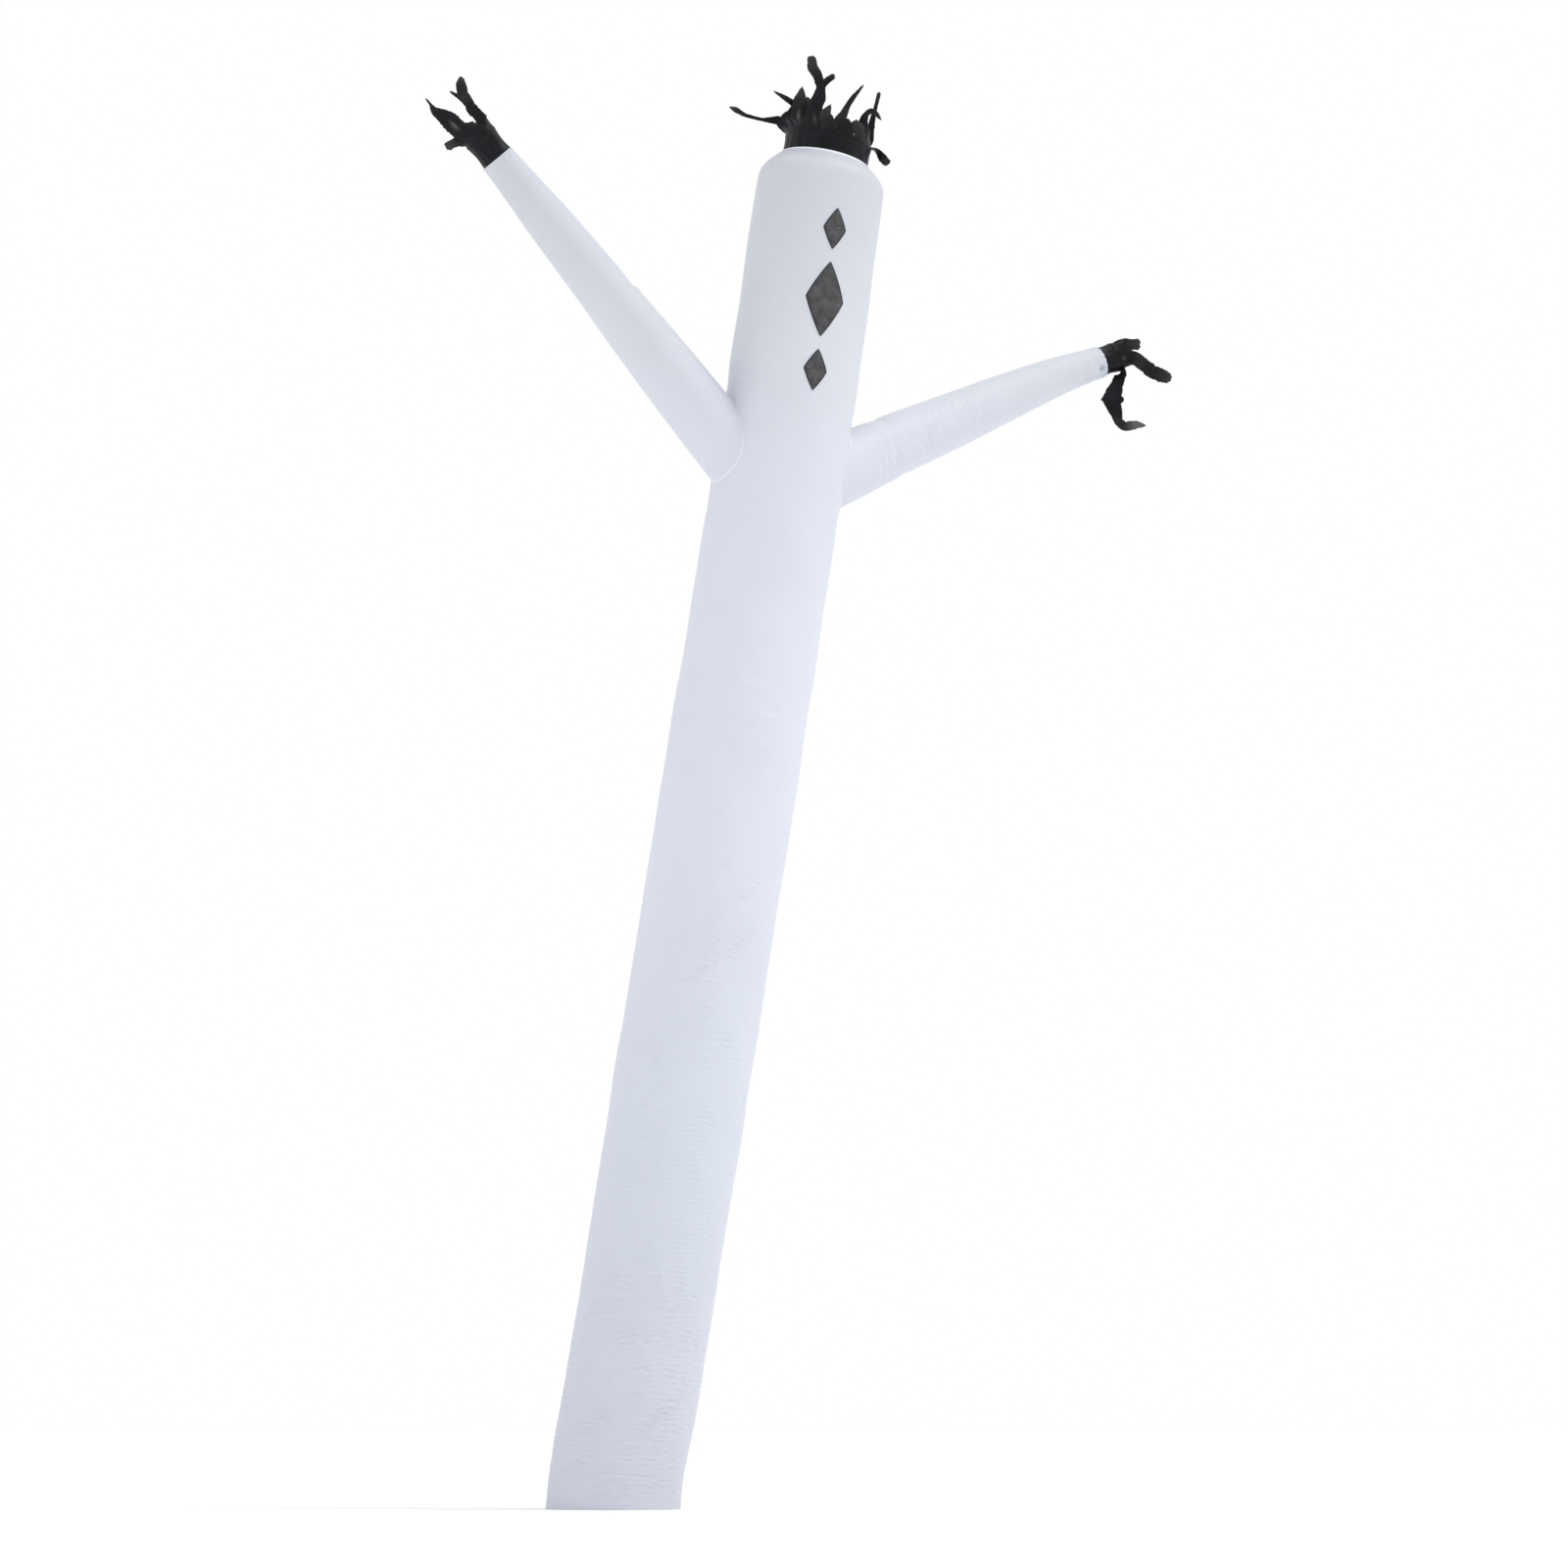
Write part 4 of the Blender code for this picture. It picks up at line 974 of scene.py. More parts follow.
def cut_hole(target, arm):
    """Cut the way from the body into an arm."""
    around = np.arange(HOLE_SIDES) * 360 / HOLE_SIDES
    ends = np.array((-ARM_INSET, ARM_INSET))[:, None]
    points = arm.place(ends, around[None], -HOLE_INSET).reshape(-1, 3)
    faces = [list(face) for face in grid_faces(2, HOLE_SIDES, 0, True)]
    faces.append(list(range(HOLE_SIDES))[::-1])
    faces.append(list(range(HOLE_SIDES, 2 * HOLE_SIDES)))
    cutter = make_mesh("armhole_cutter", points, faces)
    hole = target.modifiers.new("armhole", "BOOLEAN")
    hole.operation = "DIFFERENCE"
    hole.solver = "MANIFOLD"
    hole.object = cutter
    depsgraph = bpy.context.evaluated_depsgraph_get()
    cut_mesh = bpy.data.meshes.new_from_object(target.evaluated_get(depsgraph))
    target.modifiers.clear()
    target.data = cut_mesh
    bpy.data.objects.remove(cutter)


cut_hole(body_cloth, left_arm)
cut_hole(body_cloth, right_arm)
print("body with its armholes:", triangles(body_cloth), "triangles")

# %% [markdown]
# ## Black nylon
#
# The hair, the fingers and the cuffs are the same light nylon dyed black, uncoated, so that it
# flutters. Dyed nylon is never quite black: it has a cool cast, a soft sheen at grazing angles,
# and it greys along cut edges, where the weave frays. Its tips are painted paler, partly fraying
# and partly painted sheen, and a few folds carry painted highlights.

# %% Black nylon
BLACK_THREADS = 0.0022       # m; real threads are 0.3 mm apart, drawn coarser so that they show
DYE = ("#030405", "#121418")
FRAY_AND_SHEEN_COLOUR = "#6E6A66"
BLACK_CRUMPLE_HEIGHT = 0.003
BLACK_WEAVE_HEIGHT = 0.0003


def make_black_nylon():
    """Black woven nylon, paler where it frays and where sheen and highlights are painted on."""
    made, tree, shader = new_material("dyed_woven_nylon_black")
    cloth = add_node(tree, "ShaderNodeUVMap", uv_map=UV_NAME).outputs["UV"]
    place = add_node(tree, "ShaderNodeTexCoord").outputs["Object"]
    clouds = noise(tree, place, 16.0, Detail=3.0, Roughness=0.6)
    dyed = mix(tree, remap(tree, clouds, 0.35, 0.70), *map(linear, DYE))
    # Paler where the cloth frays, with painted sheen on the tips and painted highlights on folds.
    coloured = mix(tree, kept(tree, "fray_and_sheen"), dyed, linear(FRAY_AND_SHEEN_COLOUR))
    fill(tree, shader, {"Base Color": coloured, "Roughness": remap(tree, clouds, 0, 1, 0.30, 0.60),
                        "IOR": NYLON_IOR, "Specular IOR Level": 0.16,
                        "Sheen Weight": 0.03, "Sheen Roughness": 0.35})
    weave = add_node(tree, "ShaderNodeTexBrick", {
        "Vector": cloth, "Scale": 1.0, "Mortar Size": BLACK_THREADS * 0.12,
        "Mortar Smooth": 0.8, "Brick Width": BLACK_THREADS * 2, "Row Height": BLACK_THREADS},
        offset=0.5).outputs["Fac"]
    crumple = noise(tree, cloth, 70.0, Detail=2.0, Distortion=0.8)
    raise_bumps(tree, shader, (crumple, 0.6, BLACK_CRUMPLE_HEIGHT),
                (weave, 0.3, BLACK_WEAVE_HEIGHT))
    return made


black_nylon = make_black_nylon()
print("black nylon:", len(black_nylon.node_tree.nodes), "nodes")

# %% [markdown]
# ## Cuffs and the band under the hair
#
# A cuff is a short black sleeve whose upper edge is tucked into the end of the arm and sewn.
# The band under the hair is the same piece, wider, in the crown's rim. Sewing gathers them, so
# both have small upright pleats that die away from the seam.

# %% Sleeves of black cloth
Cuff = namedtuple("Cuff", "length waist end")
SEAM_LAP = 0.012
WHITE_WALL = 0.002           # m, the solids' own wall, which the cuffs fit inside
SEAT_GAP = 0.0003
LEFT_CUFF = Cuff(0.085, 0.056, 0.060)
RIGHT_CUFF = Cuff(0.055, 0.051, 0.053)
HAIR_BAND_HEIGHT = 0.062
SLEEVE_SIDES = 96
SLEEVE_STEP = 0.004
BLACK_WALL = 0.0010
SECOND_PLEATS = 0.62         # a second set of pleats, as a share of the first set's number
SECOND_HEIGHT = 0.6          # and of its height
SECOND_DRIFT = 40            # radians by which it turns to each metre up
PLEAT_SINK = 1.2             # how far inside the sleeve the pleats lie, in their own heights
PLEAT_START = 0.003          # m, where the pleats start
PLEAT_RISE = 0.02            # m over which they reach their full height
PLEAT_FALL = 0.03            # m over which they die away below the upper edge
PLEAT_LEAST = 0.1            # the share of them that is left there
SLEEVE_GREY = 0.06           # how grey that edge has worn
GREY_FADE = 0.006


def make_sleeve(name, tube, low, high, pleats, height):
    """A short black sleeve with pleats that start at its seam."""
    around = np.arange(SLEEVE_SIDES) * 360 / SLEEVE_SIDES
    alongs = np.linspace(low, high, int((high - low) / SLEEVE_STEP) + 1)[:, None]
    turns = np.radians(around)[None]
    # Two sets of pleats that beat against each other look sewn, where one set looks turned.
    second = turns * (pleats * SECOND_PLEATS // 1) + SECOND_DRIFT * alongs + 1.0
    wave = np.sin(turns * pleats + 2.0 * np.sin(2 * turns)) + SECOND_HEIGHT * np.sin(second)
    share = (np.clip((alongs - PLEAT_START) / PLEAT_RISE, 0, 1)
             * np.clip((high - alongs) / PLEAT_FALL, PLEAT_LEAST, 1))
    out = height * (wave - PLEAT_SINK) * share
    girth = 2 * math.pi * tube.widths[-1].radius
    grid = tube.place(alongs, around[None], out)
    made = make_tube(name, grid, tube.place(alongs, around[None], out - BLACK_WALL),
                     tube_uv(alongs, around[None], girth), tube_uv(alongs, around[None], girth),
                     girth, black_nylon)
    grey = SLEEVE_GREY * np.exp(-(high - alongs) / GREY_FADE) * np.ones((1, SLEEVE_SIDES))
    set_attribute(made, "fray_and_sheen", np.concatenate([grey.ravel(), grey.ravel()]))
    return made, grid


def cuff_tube(arm, last_heading, row):
    """A cuff's tube, which starts inside the end of its arm."""
    centre, _, _, heading = arm.frame(ARM_LENGTH)
    inside = arm.widths[-1].radius - WHITE_WALL - SEAT_GAP
    widths = (Width(-SEAM_LAP, inside), Width(0.0, inside), Width(row.length / 2, row.waist),
              Width(row.length, row.end))
    return Tube((last_heading,), widths, centre - heading * SEAM_LAP, -SEAM_LAP)


left_cuff = cuff_tube(left_arm, LEFT_HEADINGS[-1], LEFT_CUFF)
right_cuff = cuff_tube(right_arm, RIGHT_HEADINGS[-1], RIGHT_CUFF)
left_cuff_made, left_cuff_grid = make_sleeve("cuff_left_cloth", left_cuff, -SEAM_LAP,
                                             LEFT_CUFF.length, 13, 0.0010)
right_cuff_made, right_cuff_grid = make_sleeve("cuff_right_cloth", right_cuff, -SEAM_LAP,
                                               RIGHT_CUFF.length, 11, 0.0012)

band_radius = BODY_WIDTHS[-1].radius - WHITE_WALL - SEAT_GAP
band_height = SEAM_LAP + HAIR_BAND_HEIGHT
rim_centre, _, _, rim_heading = body.frame(BODY_LENGTH)
band_tube = Tube((BODY_HEADINGS[-1],), (Width(0.0, band_radius), Width(band_height, band_radius)),
                 rim_centre - rim_heading * SEAM_LAP)
band_made, band_grid = make_sleeve("hair_band_cloth", band_tube, 0.0, band_height, 23, 0.0012)
print("cuffs and band:", triangles(left_cuff_made), triangles(right_cuff_made),
      triangles(band_made), "triangles")

# %% [markdown]
# ## Hair and fingers
#
# The hair is one length of black nylon, cut into strips and sewn round as a fringe. Each strip
# leaves the ring upright and curved like it, then goes where the air throws it: it bends, turns
# on its own length, folds and ends in a torn tip. Simulated strips would fall differently on
# every change, so each one follows a table of legs, which are the solids' own. What is added
# here is what makes it cloth: a rolled section, crumples and ragged edges.

# %% Tables of the strips
Strip = namedtuple("Strip", "around arc legs")
Leg = namedtuple("Leg", "length tilt bearing width turn")
HighlightMark = namedtuple("HighlightMark", "strip along across length width depth")
HAIR_STRIPS = (
    Strip(158.0, 17.0, (
        Leg(0.065, 35, 120, 0.034, -70), Leg(0.060, 90, 165, 0.012, -60),
        Leg(0.065, 80, 175, 0.014, -60), Leg(0.040, 60, 160, 0.020, -55),
        Leg(0.025, 65, 160, 0.008, -55))),
    Strip(180.5, 18.0, (
        Leg(0.060, 30, 250, 0.034, -65), Leg(0.035, 35, 290, 0.024, -65),
        Leg(0.045, 60, 175, 0.018, -80), Leg(0.045, 60, 160, 0.006, -80))),
    Strip(203.0, 18.5, (
        Leg(0.055, 40, 225, 0.050, -45), Leg(0.050, 20, 280, 0.048, -40),
        Leg(0.050, 10, 305, 0.006, -40))),
    Strip(225.5, 18.0, (
        Leg(0.055, 25, 225, 0.050, -20), Leg(0.055, 25, 325, 0.050, -20),
        Leg(0.040, 10, 340, 0.032, -20), Leg(0.045, 15, 155, 0.034, -15),
        Leg(0.030, 35, 165, 0.038, -10), Leg(0.045, 10, 200, 0.028, -10))),
    Strip(248.0, 18.5, (
        Leg(0.060, 30, 200, 0.040, 0), Leg(0.040, 30, 325, 0.006, 0))),
    Strip(270.5, 18.5, (
        Leg(0.020, 10, 0, 0.046, 0), Leg(0.015, 20, 195, 0.042, 5), Leg(0.025, 50, 195, 0.034, 25),
        Leg(0.050, 25, 325, 0.020, 25), Leg(0.035, 35, 325, 0.018, 25),
        Leg(0.060, 40, 330, 0.006, 25))),
    Strip(293.0, 18.5, (
        Leg(0.020, 10, 0, 0.046, 0), Leg(0.015, 20, 205, 0.044, 15), Leg(0.020, 50, 205, 0.042, 40),
        Leg(0.020, 10, 205, 0.026, 45))),
    Strip(315.5, 18.0, (
        Leg(0.080, 30, 210, 0.038, 70), Leg(0.035, 30, 290, 0.020, 75),
        Leg(0.020, 50, 330, 0.020, 80), Leg(0.020, 120, 305, 0.020, 95),
        Leg(0.035, 140, 345, 0.006, 100))),
    Strip(338.0, 18.0, (
        Leg(0.030, 120, 330, 0.034, 20), Leg(0.040, 140, 305, 0.030, 85),
        Leg(0.030, 135, 315, 0.028, 90))),
    Strip(0.5, 17.0, (
        Leg(0.120, 10, 335, 0.022, -70), Leg(0.040, 15, 315, 0.014, -70),
        Leg(0.070, 20, 290, 0.014, -70))),
    Strip(23.0, 18.5, (
        Leg(0.070, 45, 325, 0.032, -50), Leg(0.030, 15, 315, 0.028, -50),
        Leg(0.030, 15, 180, 0.012, -45))),
    Strip(45.5, 18.0, (
        Leg(0.135, 10, 185, 0.028, 0), Leg(0.040, 35, 330, 0.008, 0))),
    Strip(68.0, 18.5, (
        Leg(0.175, 15, 195, 0.032, 0), Leg(0.055, 15, 260, 0.026, 5),
        Leg(0.045, 50, 295, 0.024, 10), Leg(0.040, 60, 315, 0.020, 15))),
    Strip(90.5, 18.0, (
        Leg(0.145, 5, 230, 0.046, 0), Leg(0.050, 20, 210, 0.014, 0))),
    Strip(113.0, 18.0, (
        Leg(0.130, 5, 210, 0.044, 0), Leg(0.030, 15, 315, 0.012, 0))),
    Strip(135.5, 18.0, (
        Leg(0.080, 15, 170, 0.040, 35), Leg(0.040, 40, 330, 0.010, 30))),
)
LEFT_FINGERS = (
    Strip(315, 44, (
        Leg(0.050, 65, 200, 0.040, 65), Leg(0.050, 45, 165, 0.040, 65),
        Leg(0.025, 20, 175, 0.030, 65), Leg(0.035, 40, 165, 0.038, 65),
        Leg(0.030, 10, 185, 0.038, 65), Leg(0.030, 5, 260, 0.016, 60))),
    Strip(15, 44, (
        Leg(0.070, 50, 200, 0.034, -30), Leg(0.065, 45, 160, 0.022, -50),
        Leg(0.025, 55, 160, 0.016, -50), Leg(0.035, 60, 160, 0.008, -50))),
    Strip(75, 44, (
        Leg(0.040, 10, 135, 0.036, 0), Leg(0.030, 50, 140, 0.024, 0))),
    Strip(135, 44, (
        Leg(0.055, 35, 100, 0.038, 0), Leg(0.035, 55, 140, 0.024, 0))),
    Strip(195, 44, (
        Leg(0.045, 80, 155, 0.032, -50), Leg(0.025, 115, 155, 0.030, -45),
        Leg(0.025, 125, 150, 0.032, -45))),
    Strip(255, 44, (
        Leg(0.080, 85, 170, 0.064, 5), Leg(0.050, 50, 175, 0.062, 10),
        Leg(0.030, 55, 160, 0.048, 10), Leg(0.030, 60, 160, 0.028, 10),
        Leg(0.025, 30, 165, 0.010, 5), Leg(0.030, 40, 165, 0.006, 5))),
)
RIGHT_FINGERS = (
    Strip(345, 44, (
        Leg(0.035, 150, 205, 0.044, 45), Leg(0.035, 160, 155, 0.042, 80),
        Leg(0.045, 160, 150, 0.070, 80), Leg(0.015, 175, 60, 0.088, 80),
        Leg(0.020, 175, 60, 0.056, 80), Leg(0.030, 155, 345, 0.046, 80),
        Leg(0.030, 170, 10, 0.032, 80), Leg(0.030, 130, 340, 0.034, 80),
        Leg(0.040, 80, 335, 0.032, 80), Leg(0.040, 95, 335, 0.006, 80))),
    Strip(45, 44, (
        Leg(0.065, 70, 345, 0.030, 0), Leg(0.035, 100, 340, 0.016, 0))),
    Strip(105, 44, (
        Leg(0.075, 80, 345, 0.030, 0), Leg(0.030, 95, 0, 0.020, 0))),
    Strip(165, 44, (
        Leg(0.060, 80, 325, 0.036, 35), Leg(0.045, 100, 335, 0.032, 35))),
    Strip(225, 44, (
        Leg(0.045, 85, 310, 0.040, -45), Leg(0.050, 90, 335, 0.040, -45))),
    Strip(285, 44, (
        Leg(0.055, 95, 315, 0.046, 15), Leg(0.050, 130, 325, 0.048, 20),
        Leg(0.030, 130, 340, 0.050, 20), Leg(0.035, 115, 320, 0.050, 20),
        Leg(0.040, 110, 335, 0.034, 20))),
)
# Pale marks painted on the strips: painted highlights where a fold faces the light, and a pale
# end on one finger, partly its paler back face and partly painted light.
HAIR_HIGHLIGHT_MARKS = (HighlightMark(2, 0.048, 0.002, 0.020, 0.0045, 0.75),
              HighlightMark(3, 0.032, 0.004, 0.016, 0.0035, 0.55))
LEFT_HIGHLIGHT_MARKS = (HighlightMark(5, 0.105, -0.002, 0.018, 0.0050, 0.80),)
RIGHT_HIGHLIGHT_MARKS = (HighlightMark(0, 0.290, 0.000, 0.036, 0.0400, 0.75),
               HighlightMark(5, 0.012, 0.000, 0.008, 0.0080, 0.35))
print("strips:", len(HAIR_STRIPS), "of hair,", len(LEFT_FINGERS) + len(RIGHT_FINGERS), "fingers")

# %% One strip
STRIP_STEP = 0.0045          # m along a strip
BEND = 0.020                 # m over which a strip turns from one leg's heading to the next
STRIP_ROOT = 0.003           # m that a strip starts below the ring's upper edge
STRIP_POINTS = 9             # across a strip
ROOT_FADE = 0.045            # m over which a strip loses the ring's own curve
ROLL_SHARE = 0.13            # how far a strip's section rolls up, as a share of its width
RAGGED = 0.05                # how uneven its edges are, as a share of its width
EDGE_START = 0.02            # m from its root over which a strip's edges grow uneven
HALF_LEAST = 0.002           # m, half the least width of a strip
SHORTEST_ROLL = 0.08         # m; a shorter strip rolls up like one of this length
Crumple = namedtuple("Crumple", "per_metre across share")
CRUMPLES = (Crumple(190, 1.6, 1.0), Crumple(310, -2.3, 1.0), Crumple(120, 4.1, 0.7))
CRUMPLE_HEIGHT = 0.0011      # m
HAIR_SPREAD = 1.22           # how much wider a strip is at its root, where it meets its neighbours
FINGER_SPREAD = 1.34
SPREAD_LENGTH = 0.040        # m over which it narrows
TORN = 0.0035                # m, how uneven a torn tip is
TORN_FADE = 0.006            # m over which the cloth below the tip is drawn out with it
TIP_ROUNDING = 0.007         # m by which the corners of a tip are worn back
EDGE_FRAY = 0.05             # how pale the edges have frayed
TIP_SHEEN_AND_FRAY = 0.28              # and the tip, partly fray and partly a painted sheen
TIP_FADE = 0.030
PATCHY_FRAY = 0.07           # and patches along the strip
MOST_FRAY_AND_SHEEN = 0.8


def leg_way(leg):
    """The direction of one leg of a strip."""
    tilt = math.radians(leg.tilt)
    lean = math.radians(leg.bearing)
    return np.array((math.sin(tilt) * math.cos(lean), math.sin(tilt) * math.sin(lean),
                     math.cos(tilt)))


def strip_knots(row, axis):
    """The places where a strip's heading is given, and the heading at each."""
    ends = np.cumsum([leg.length for leg in row.legs])
    knots = [0.0, min(BEND, row.legs[0].length / 2)]
    ways = [axis, leg_way(row.legs[0])]
    for joint, before, after in zip(ends, row.legs, row.legs[1:]):
        half = min(BEND, before.length, after.length) / 2
        knots += [joint - half, joint + half]
        ways += [leg_way(before), leg_way(after)]
    return np.array(knots + [ends[-1]]), np.array(ways + [leg_way(row.legs[-1])])


def strip_path(row, start, across, axis):
    """A strip's centreline with its width direction, face direction and width at every step."""
    knots, ways = strip_knots(row, axis)
    ends = np.cumsum([0.0] + [leg.length for leg in row.legs])
    widths = [np.linalg.norm(across)] + [leg.width for leg in row.legs]
    turns = [0.0] + [leg.turn for leg in row.legs]
    # A strip is as flat as the ring until its first bend is done, and only then turns.
    twists = [knots[1], *ends[1:]]
    places = np.linspace(-STRIP_ROOT, ends[-1], max(8, int(ends[-1] / STRIP_STEP)) + 1)
    move = places[1] - places[0]
    headings = unit(np.stack([np.interp(places, knots, column) for column in ways.T], -1))
    between = unit(np.stack([np.interp(places[:-1] + move / 2, knots, column)
                             for column in ways.T], -1))
    centres = np.vstack([start, start + np.cumsum(between * move, axis=0)])
    across = Vector(unit(across))
    before = Vector(axis)
    wides = []
    for heading, turn in zip(headings, np.radians(np.interp(places, twists, turns))):
        way = Vector(heading)
        across.rotate(before.rotation_difference(way))
        before = way
        wides.append(across * math.cos(turn) + across.cross(way) * math.sin(turn))
    wides = np.array(wides)
    widths = np.interp(places, ends, widths)
    return places, centres, wides, np.cross(wides, headings), headings, widths


def strip_sheet(row, start, across, axis, radius, spread, highlight_marks):
    """The points of one strip, outer face then inner, and their places on the cloth."""
    places, centres, wides, faces_out, headings, widths = strip_path(row, start, across, axis)
    count = len(places)
    share = np.linspace(-1, 1, STRIP_POINTS)[None]
    place = places[:, None]
    long = places[-1]
    fade = np.exp(-(place / ROOT_FADE) ** 2)
    # Ragged edges: each side wanders by itself, with a few sharp nicks.
    wander = rng.normal(0, RAGGED, (count, 2))
    wander[1:] = (wander[1:] + wander[:-1]) / 2
    wander *= np.clip(place / EDGE_START, 0, 1)
    grow = 1 + (spread - 1) * np.exp(-(place / SPREAD_LENGTH) ** 2)
    half = np.maximum(widths[:, None] * grow / 2, HALF_LEAST)
    over = half * (share + np.where(share < 0, -wander[:, :1], wander[:, 1:]) * np.abs(share))
    # The section: round like the ring at the root, then rolled one way and the other.
    angle = math.radians(row.arc / 2)
    arc = radius * (np.cos(share * angle * grow) - math.cos(angle))
    swing = rng.uniform(0.5, 1.2) * math.pi / max(long, SHORTEST_ROLL)
    roll = ROLL_SHARE * 2 * half * np.cos(place * swing + rng.uniform(0, 2 * math.pi))
    rise = arc * fade + roll * (1 - share ** 2) * (1 - fade)
    lean = rng.uniform(0, 2 * math.pi, 3)
    crumple = sum(wave.share * np.sin(place * wave.per_metre + share * wave.across + shift)
                  for wave, shift in zip(CRUMPLES, lean))
    rise = rise + CRUMPLE_HEIGHT / 2 * crumple * (1 - fade)
    # A torn tip: some threads end earlier than others.
    worn = rng.uniform(-TORN, TORN / 3, (1, STRIP_POINTS)) - TIP_ROUNDING * np.abs(share) ** 3
    torn = worn * np.exp(-(long - place) / TORN_FADE)
    middle = (centres[:, None] + wides[:, None] * over[..., None]
              + headings[:, None] * torn[..., None])
    thick = faces_out[:, None] * (BLACK_WALL / 2)
    middle = middle + faces_out[:, None] * rise[..., None]
    uv = np.stack([over + row.around / 360, place + 0 * share], axis=-1)
    # Paler cloth: frayed edges, and tips painted paler, partly fraying and partly painted sheen.
    edge = np.abs(share) ** 6
    tip = np.exp(-(long - place) / TIP_FADE)
    patchy = np.clip(np.sin(place * 60 + lean[0]) + np.sin(place * 23 + lean[1]) - 0.7, 0, 1)
    fray_and_sheen = np.clip(edge * EDGE_FRAY + tip * TIP_SHEEN_AND_FRAY + patchy * PATCHY_FRAY * (1 - fade),
                   0, MOST_FRAY_AND_SHEEN)
    # Painted highlights: pale streaks where folds face the light.
    for mark in highlight_marks:
        far = (((place - mark.along) / mark.length) ** 2
               + ((over - mark.across) / mark.width) ** 2)
        fray_and_sheen = np.maximum(fray_and_sheen, mark.depth * np.exp(-far))
    return middle + thick, middle - thick, uv, fray_and_sheen


# %% A fringe of strips on a ring
RING_HEIGHT = 0.008
RING_SIDES = 96
RING_WALL = 0.0015
RING_LAP = 0.0025            # m that the ring laps down over the cloth below it
RING_PROUD = 0.0003          # m from that cloth to the ring
RING_TAPER = (0.25, 1.0, 0.5)  # thickness of its three rows, as a share of the cloth's


def make_fringe(name, tube, last, radius, spread, strips, highlight_marks):
    """A narrow ring with its strips, as one sheet cut into a fringe."""
    centre, side, back, axis = tube.frame(last)
    centre = centre + axis * SEAT_GAP
    points, faces, uvs, frays = [], [], [], []
    first = 0

    def add(sheet, quads, uv, fray_and_sheen):
        nonlocal first
        points.append(sheet.reshape(-1, 3))
        faces.append(quads + first)
        uvs.append(uv.reshape(-1, 2))
        frays.append(fray_and_sheen.ravel())
        first += len(points[-1])

    turns = np.linspace(0, 2 * math.pi, RING_SIDES, endpoint=False)[None]
    levels = np.array((-RING_LAP, RING_HEIGHT / 2, RING_HEIGHT))[:, None]
    rows = len(levels)
    ways = side * np.cos(turns)[..., None] + back * np.sin(turns)[..., None]
    # The ring thins out to both its edges, so that it lies on the cloth below with no step.
    walls = BLACK_WALL * np.array(RING_TAPER)[:, None]
    rings = [centre + axis * levels[..., None] + ways * (radius + RING_PROUD + lift)[..., None]
             for lift in (walls, 0 * walls)]
    count = rows * RING_SIDES
    step = np.arange(RING_SIDES)
    beside = (step + 1) % RING_SIDES
    top = count - RING_SIDES
    quads = np.vstack([grid_faces(rows, RING_SIDES, 0, True),
                       grid_faces(rows, RING_SIDES, count, False),
                       np.stack([step, count + step, count + beside, beside], axis=1),
                       np.stack([top + step, top + beside, count + top + beside,
                                 count + top + step], axis=1)])
    ring_uv = np.stack(np.broadcast_arrays(turns * radius, levels - RING_HEIGHT), axis=-1)
    add(np.stack(rings), quads, np.stack([ring_uv, ring_uv]), np.zeros(2 * count))
    for number, row in enumerate(strips):
        angle = math.radians(row.around)
        half = math.radians(row.arc / 2)
        out = side * math.cos(angle) + back * math.sin(angle)
        across = (back * math.cos(angle) - side * math.sin(angle)) * 2 * radius * math.sin(half)
        start = centre + out * (radius - RING_WALL / 2) * math.cos(half)
        start = start + axis * (RING_HEIGHT - STRIP_ROOT)
        outer, inner, uv, fray_and_sheen = strip_sheet(row, start, across, axis, radius, spread,
                                             [mark for mark in highlight_marks if mark.strip == number])
        rows = len(outer)
        size = rows * STRIP_POINTS
        front = grid_faces(rows, STRIP_POINTS, 0, True, closed=False)
        rear = grid_faces(rows, STRIP_POINTS, size, False, closed=False)
        left = np.arange(rows - 1) * STRIP_POINTS
        right = left + STRIP_POINTS - 1
        low = np.arange(STRIP_POINTS - 1)
        high = low + size - STRIP_POINTS
        left_next = left + STRIP_POINTS
        right_next = right + STRIP_POINTS
        quads = np.vstack([
            front, rear,
            np.stack([left, left_next, size + left_next, size + left], axis=1),
            np.stack([right, size + right, size + right_next, right_next], axis=1),
            np.stack([low, size + low, size + low + 1, low + 1], axis=1),
            np.stack([high, high + 1, size + high + 1, size + high], axis=1)])
        add(np.stack([outer, inner]), quads, np.stack([uv, uv]), np.stack([fray_and_sheen, fray_and_sheen]))
    made = make_mesh(name, np.vstack(points), np.vstack(faces), black_nylon)
    finish_mesh(made, np.vstack(uvs))
    set_attribute(made, "fray_and_sheen", np.concatenate(frays))
    return made


hair_made = make_fringe("hair_strips_cloth", band_tube, band_height, band_radius, HAIR_SPREAD,
                        HAIR_STRIPS, HAIR_HIGHLIGHT_MARKS)
left_fingers_made = make_fringe("fingers_left_cloth", left_cuff, LEFT_CUFF.length, LEFT_CUFF.end,
                                FINGER_SPREAD, LEFT_FINGERS, LEFT_HIGHLIGHT_MARKS)
right_fingers_made = make_fringe("fingers_right_cloth", right_cuff, RIGHT_CUFF.length,
                                 RIGHT_CUFF.end, FINGER_SPREAD, RIGHT_FINGERS, RIGHT_HIGHLIGHT_MARKS)
print("fringes:", triangles(hair_made), triangles(left_fingers_made), triangles(right_fingers_made),
      "triangles")

# %% [markdown]
# ## Dark coated patches
#
# The patches on the head are cut from a dark nylon with a thicker, glossier coating, laid on the
# white cloth and sewn round the edge. The coating doesn't stretch with the cloth below it, so it
# breaks into fine level crinkles that flash where they face the light. Its tone isn't even: it is
# greyer in the middle and black along the stitched edge.

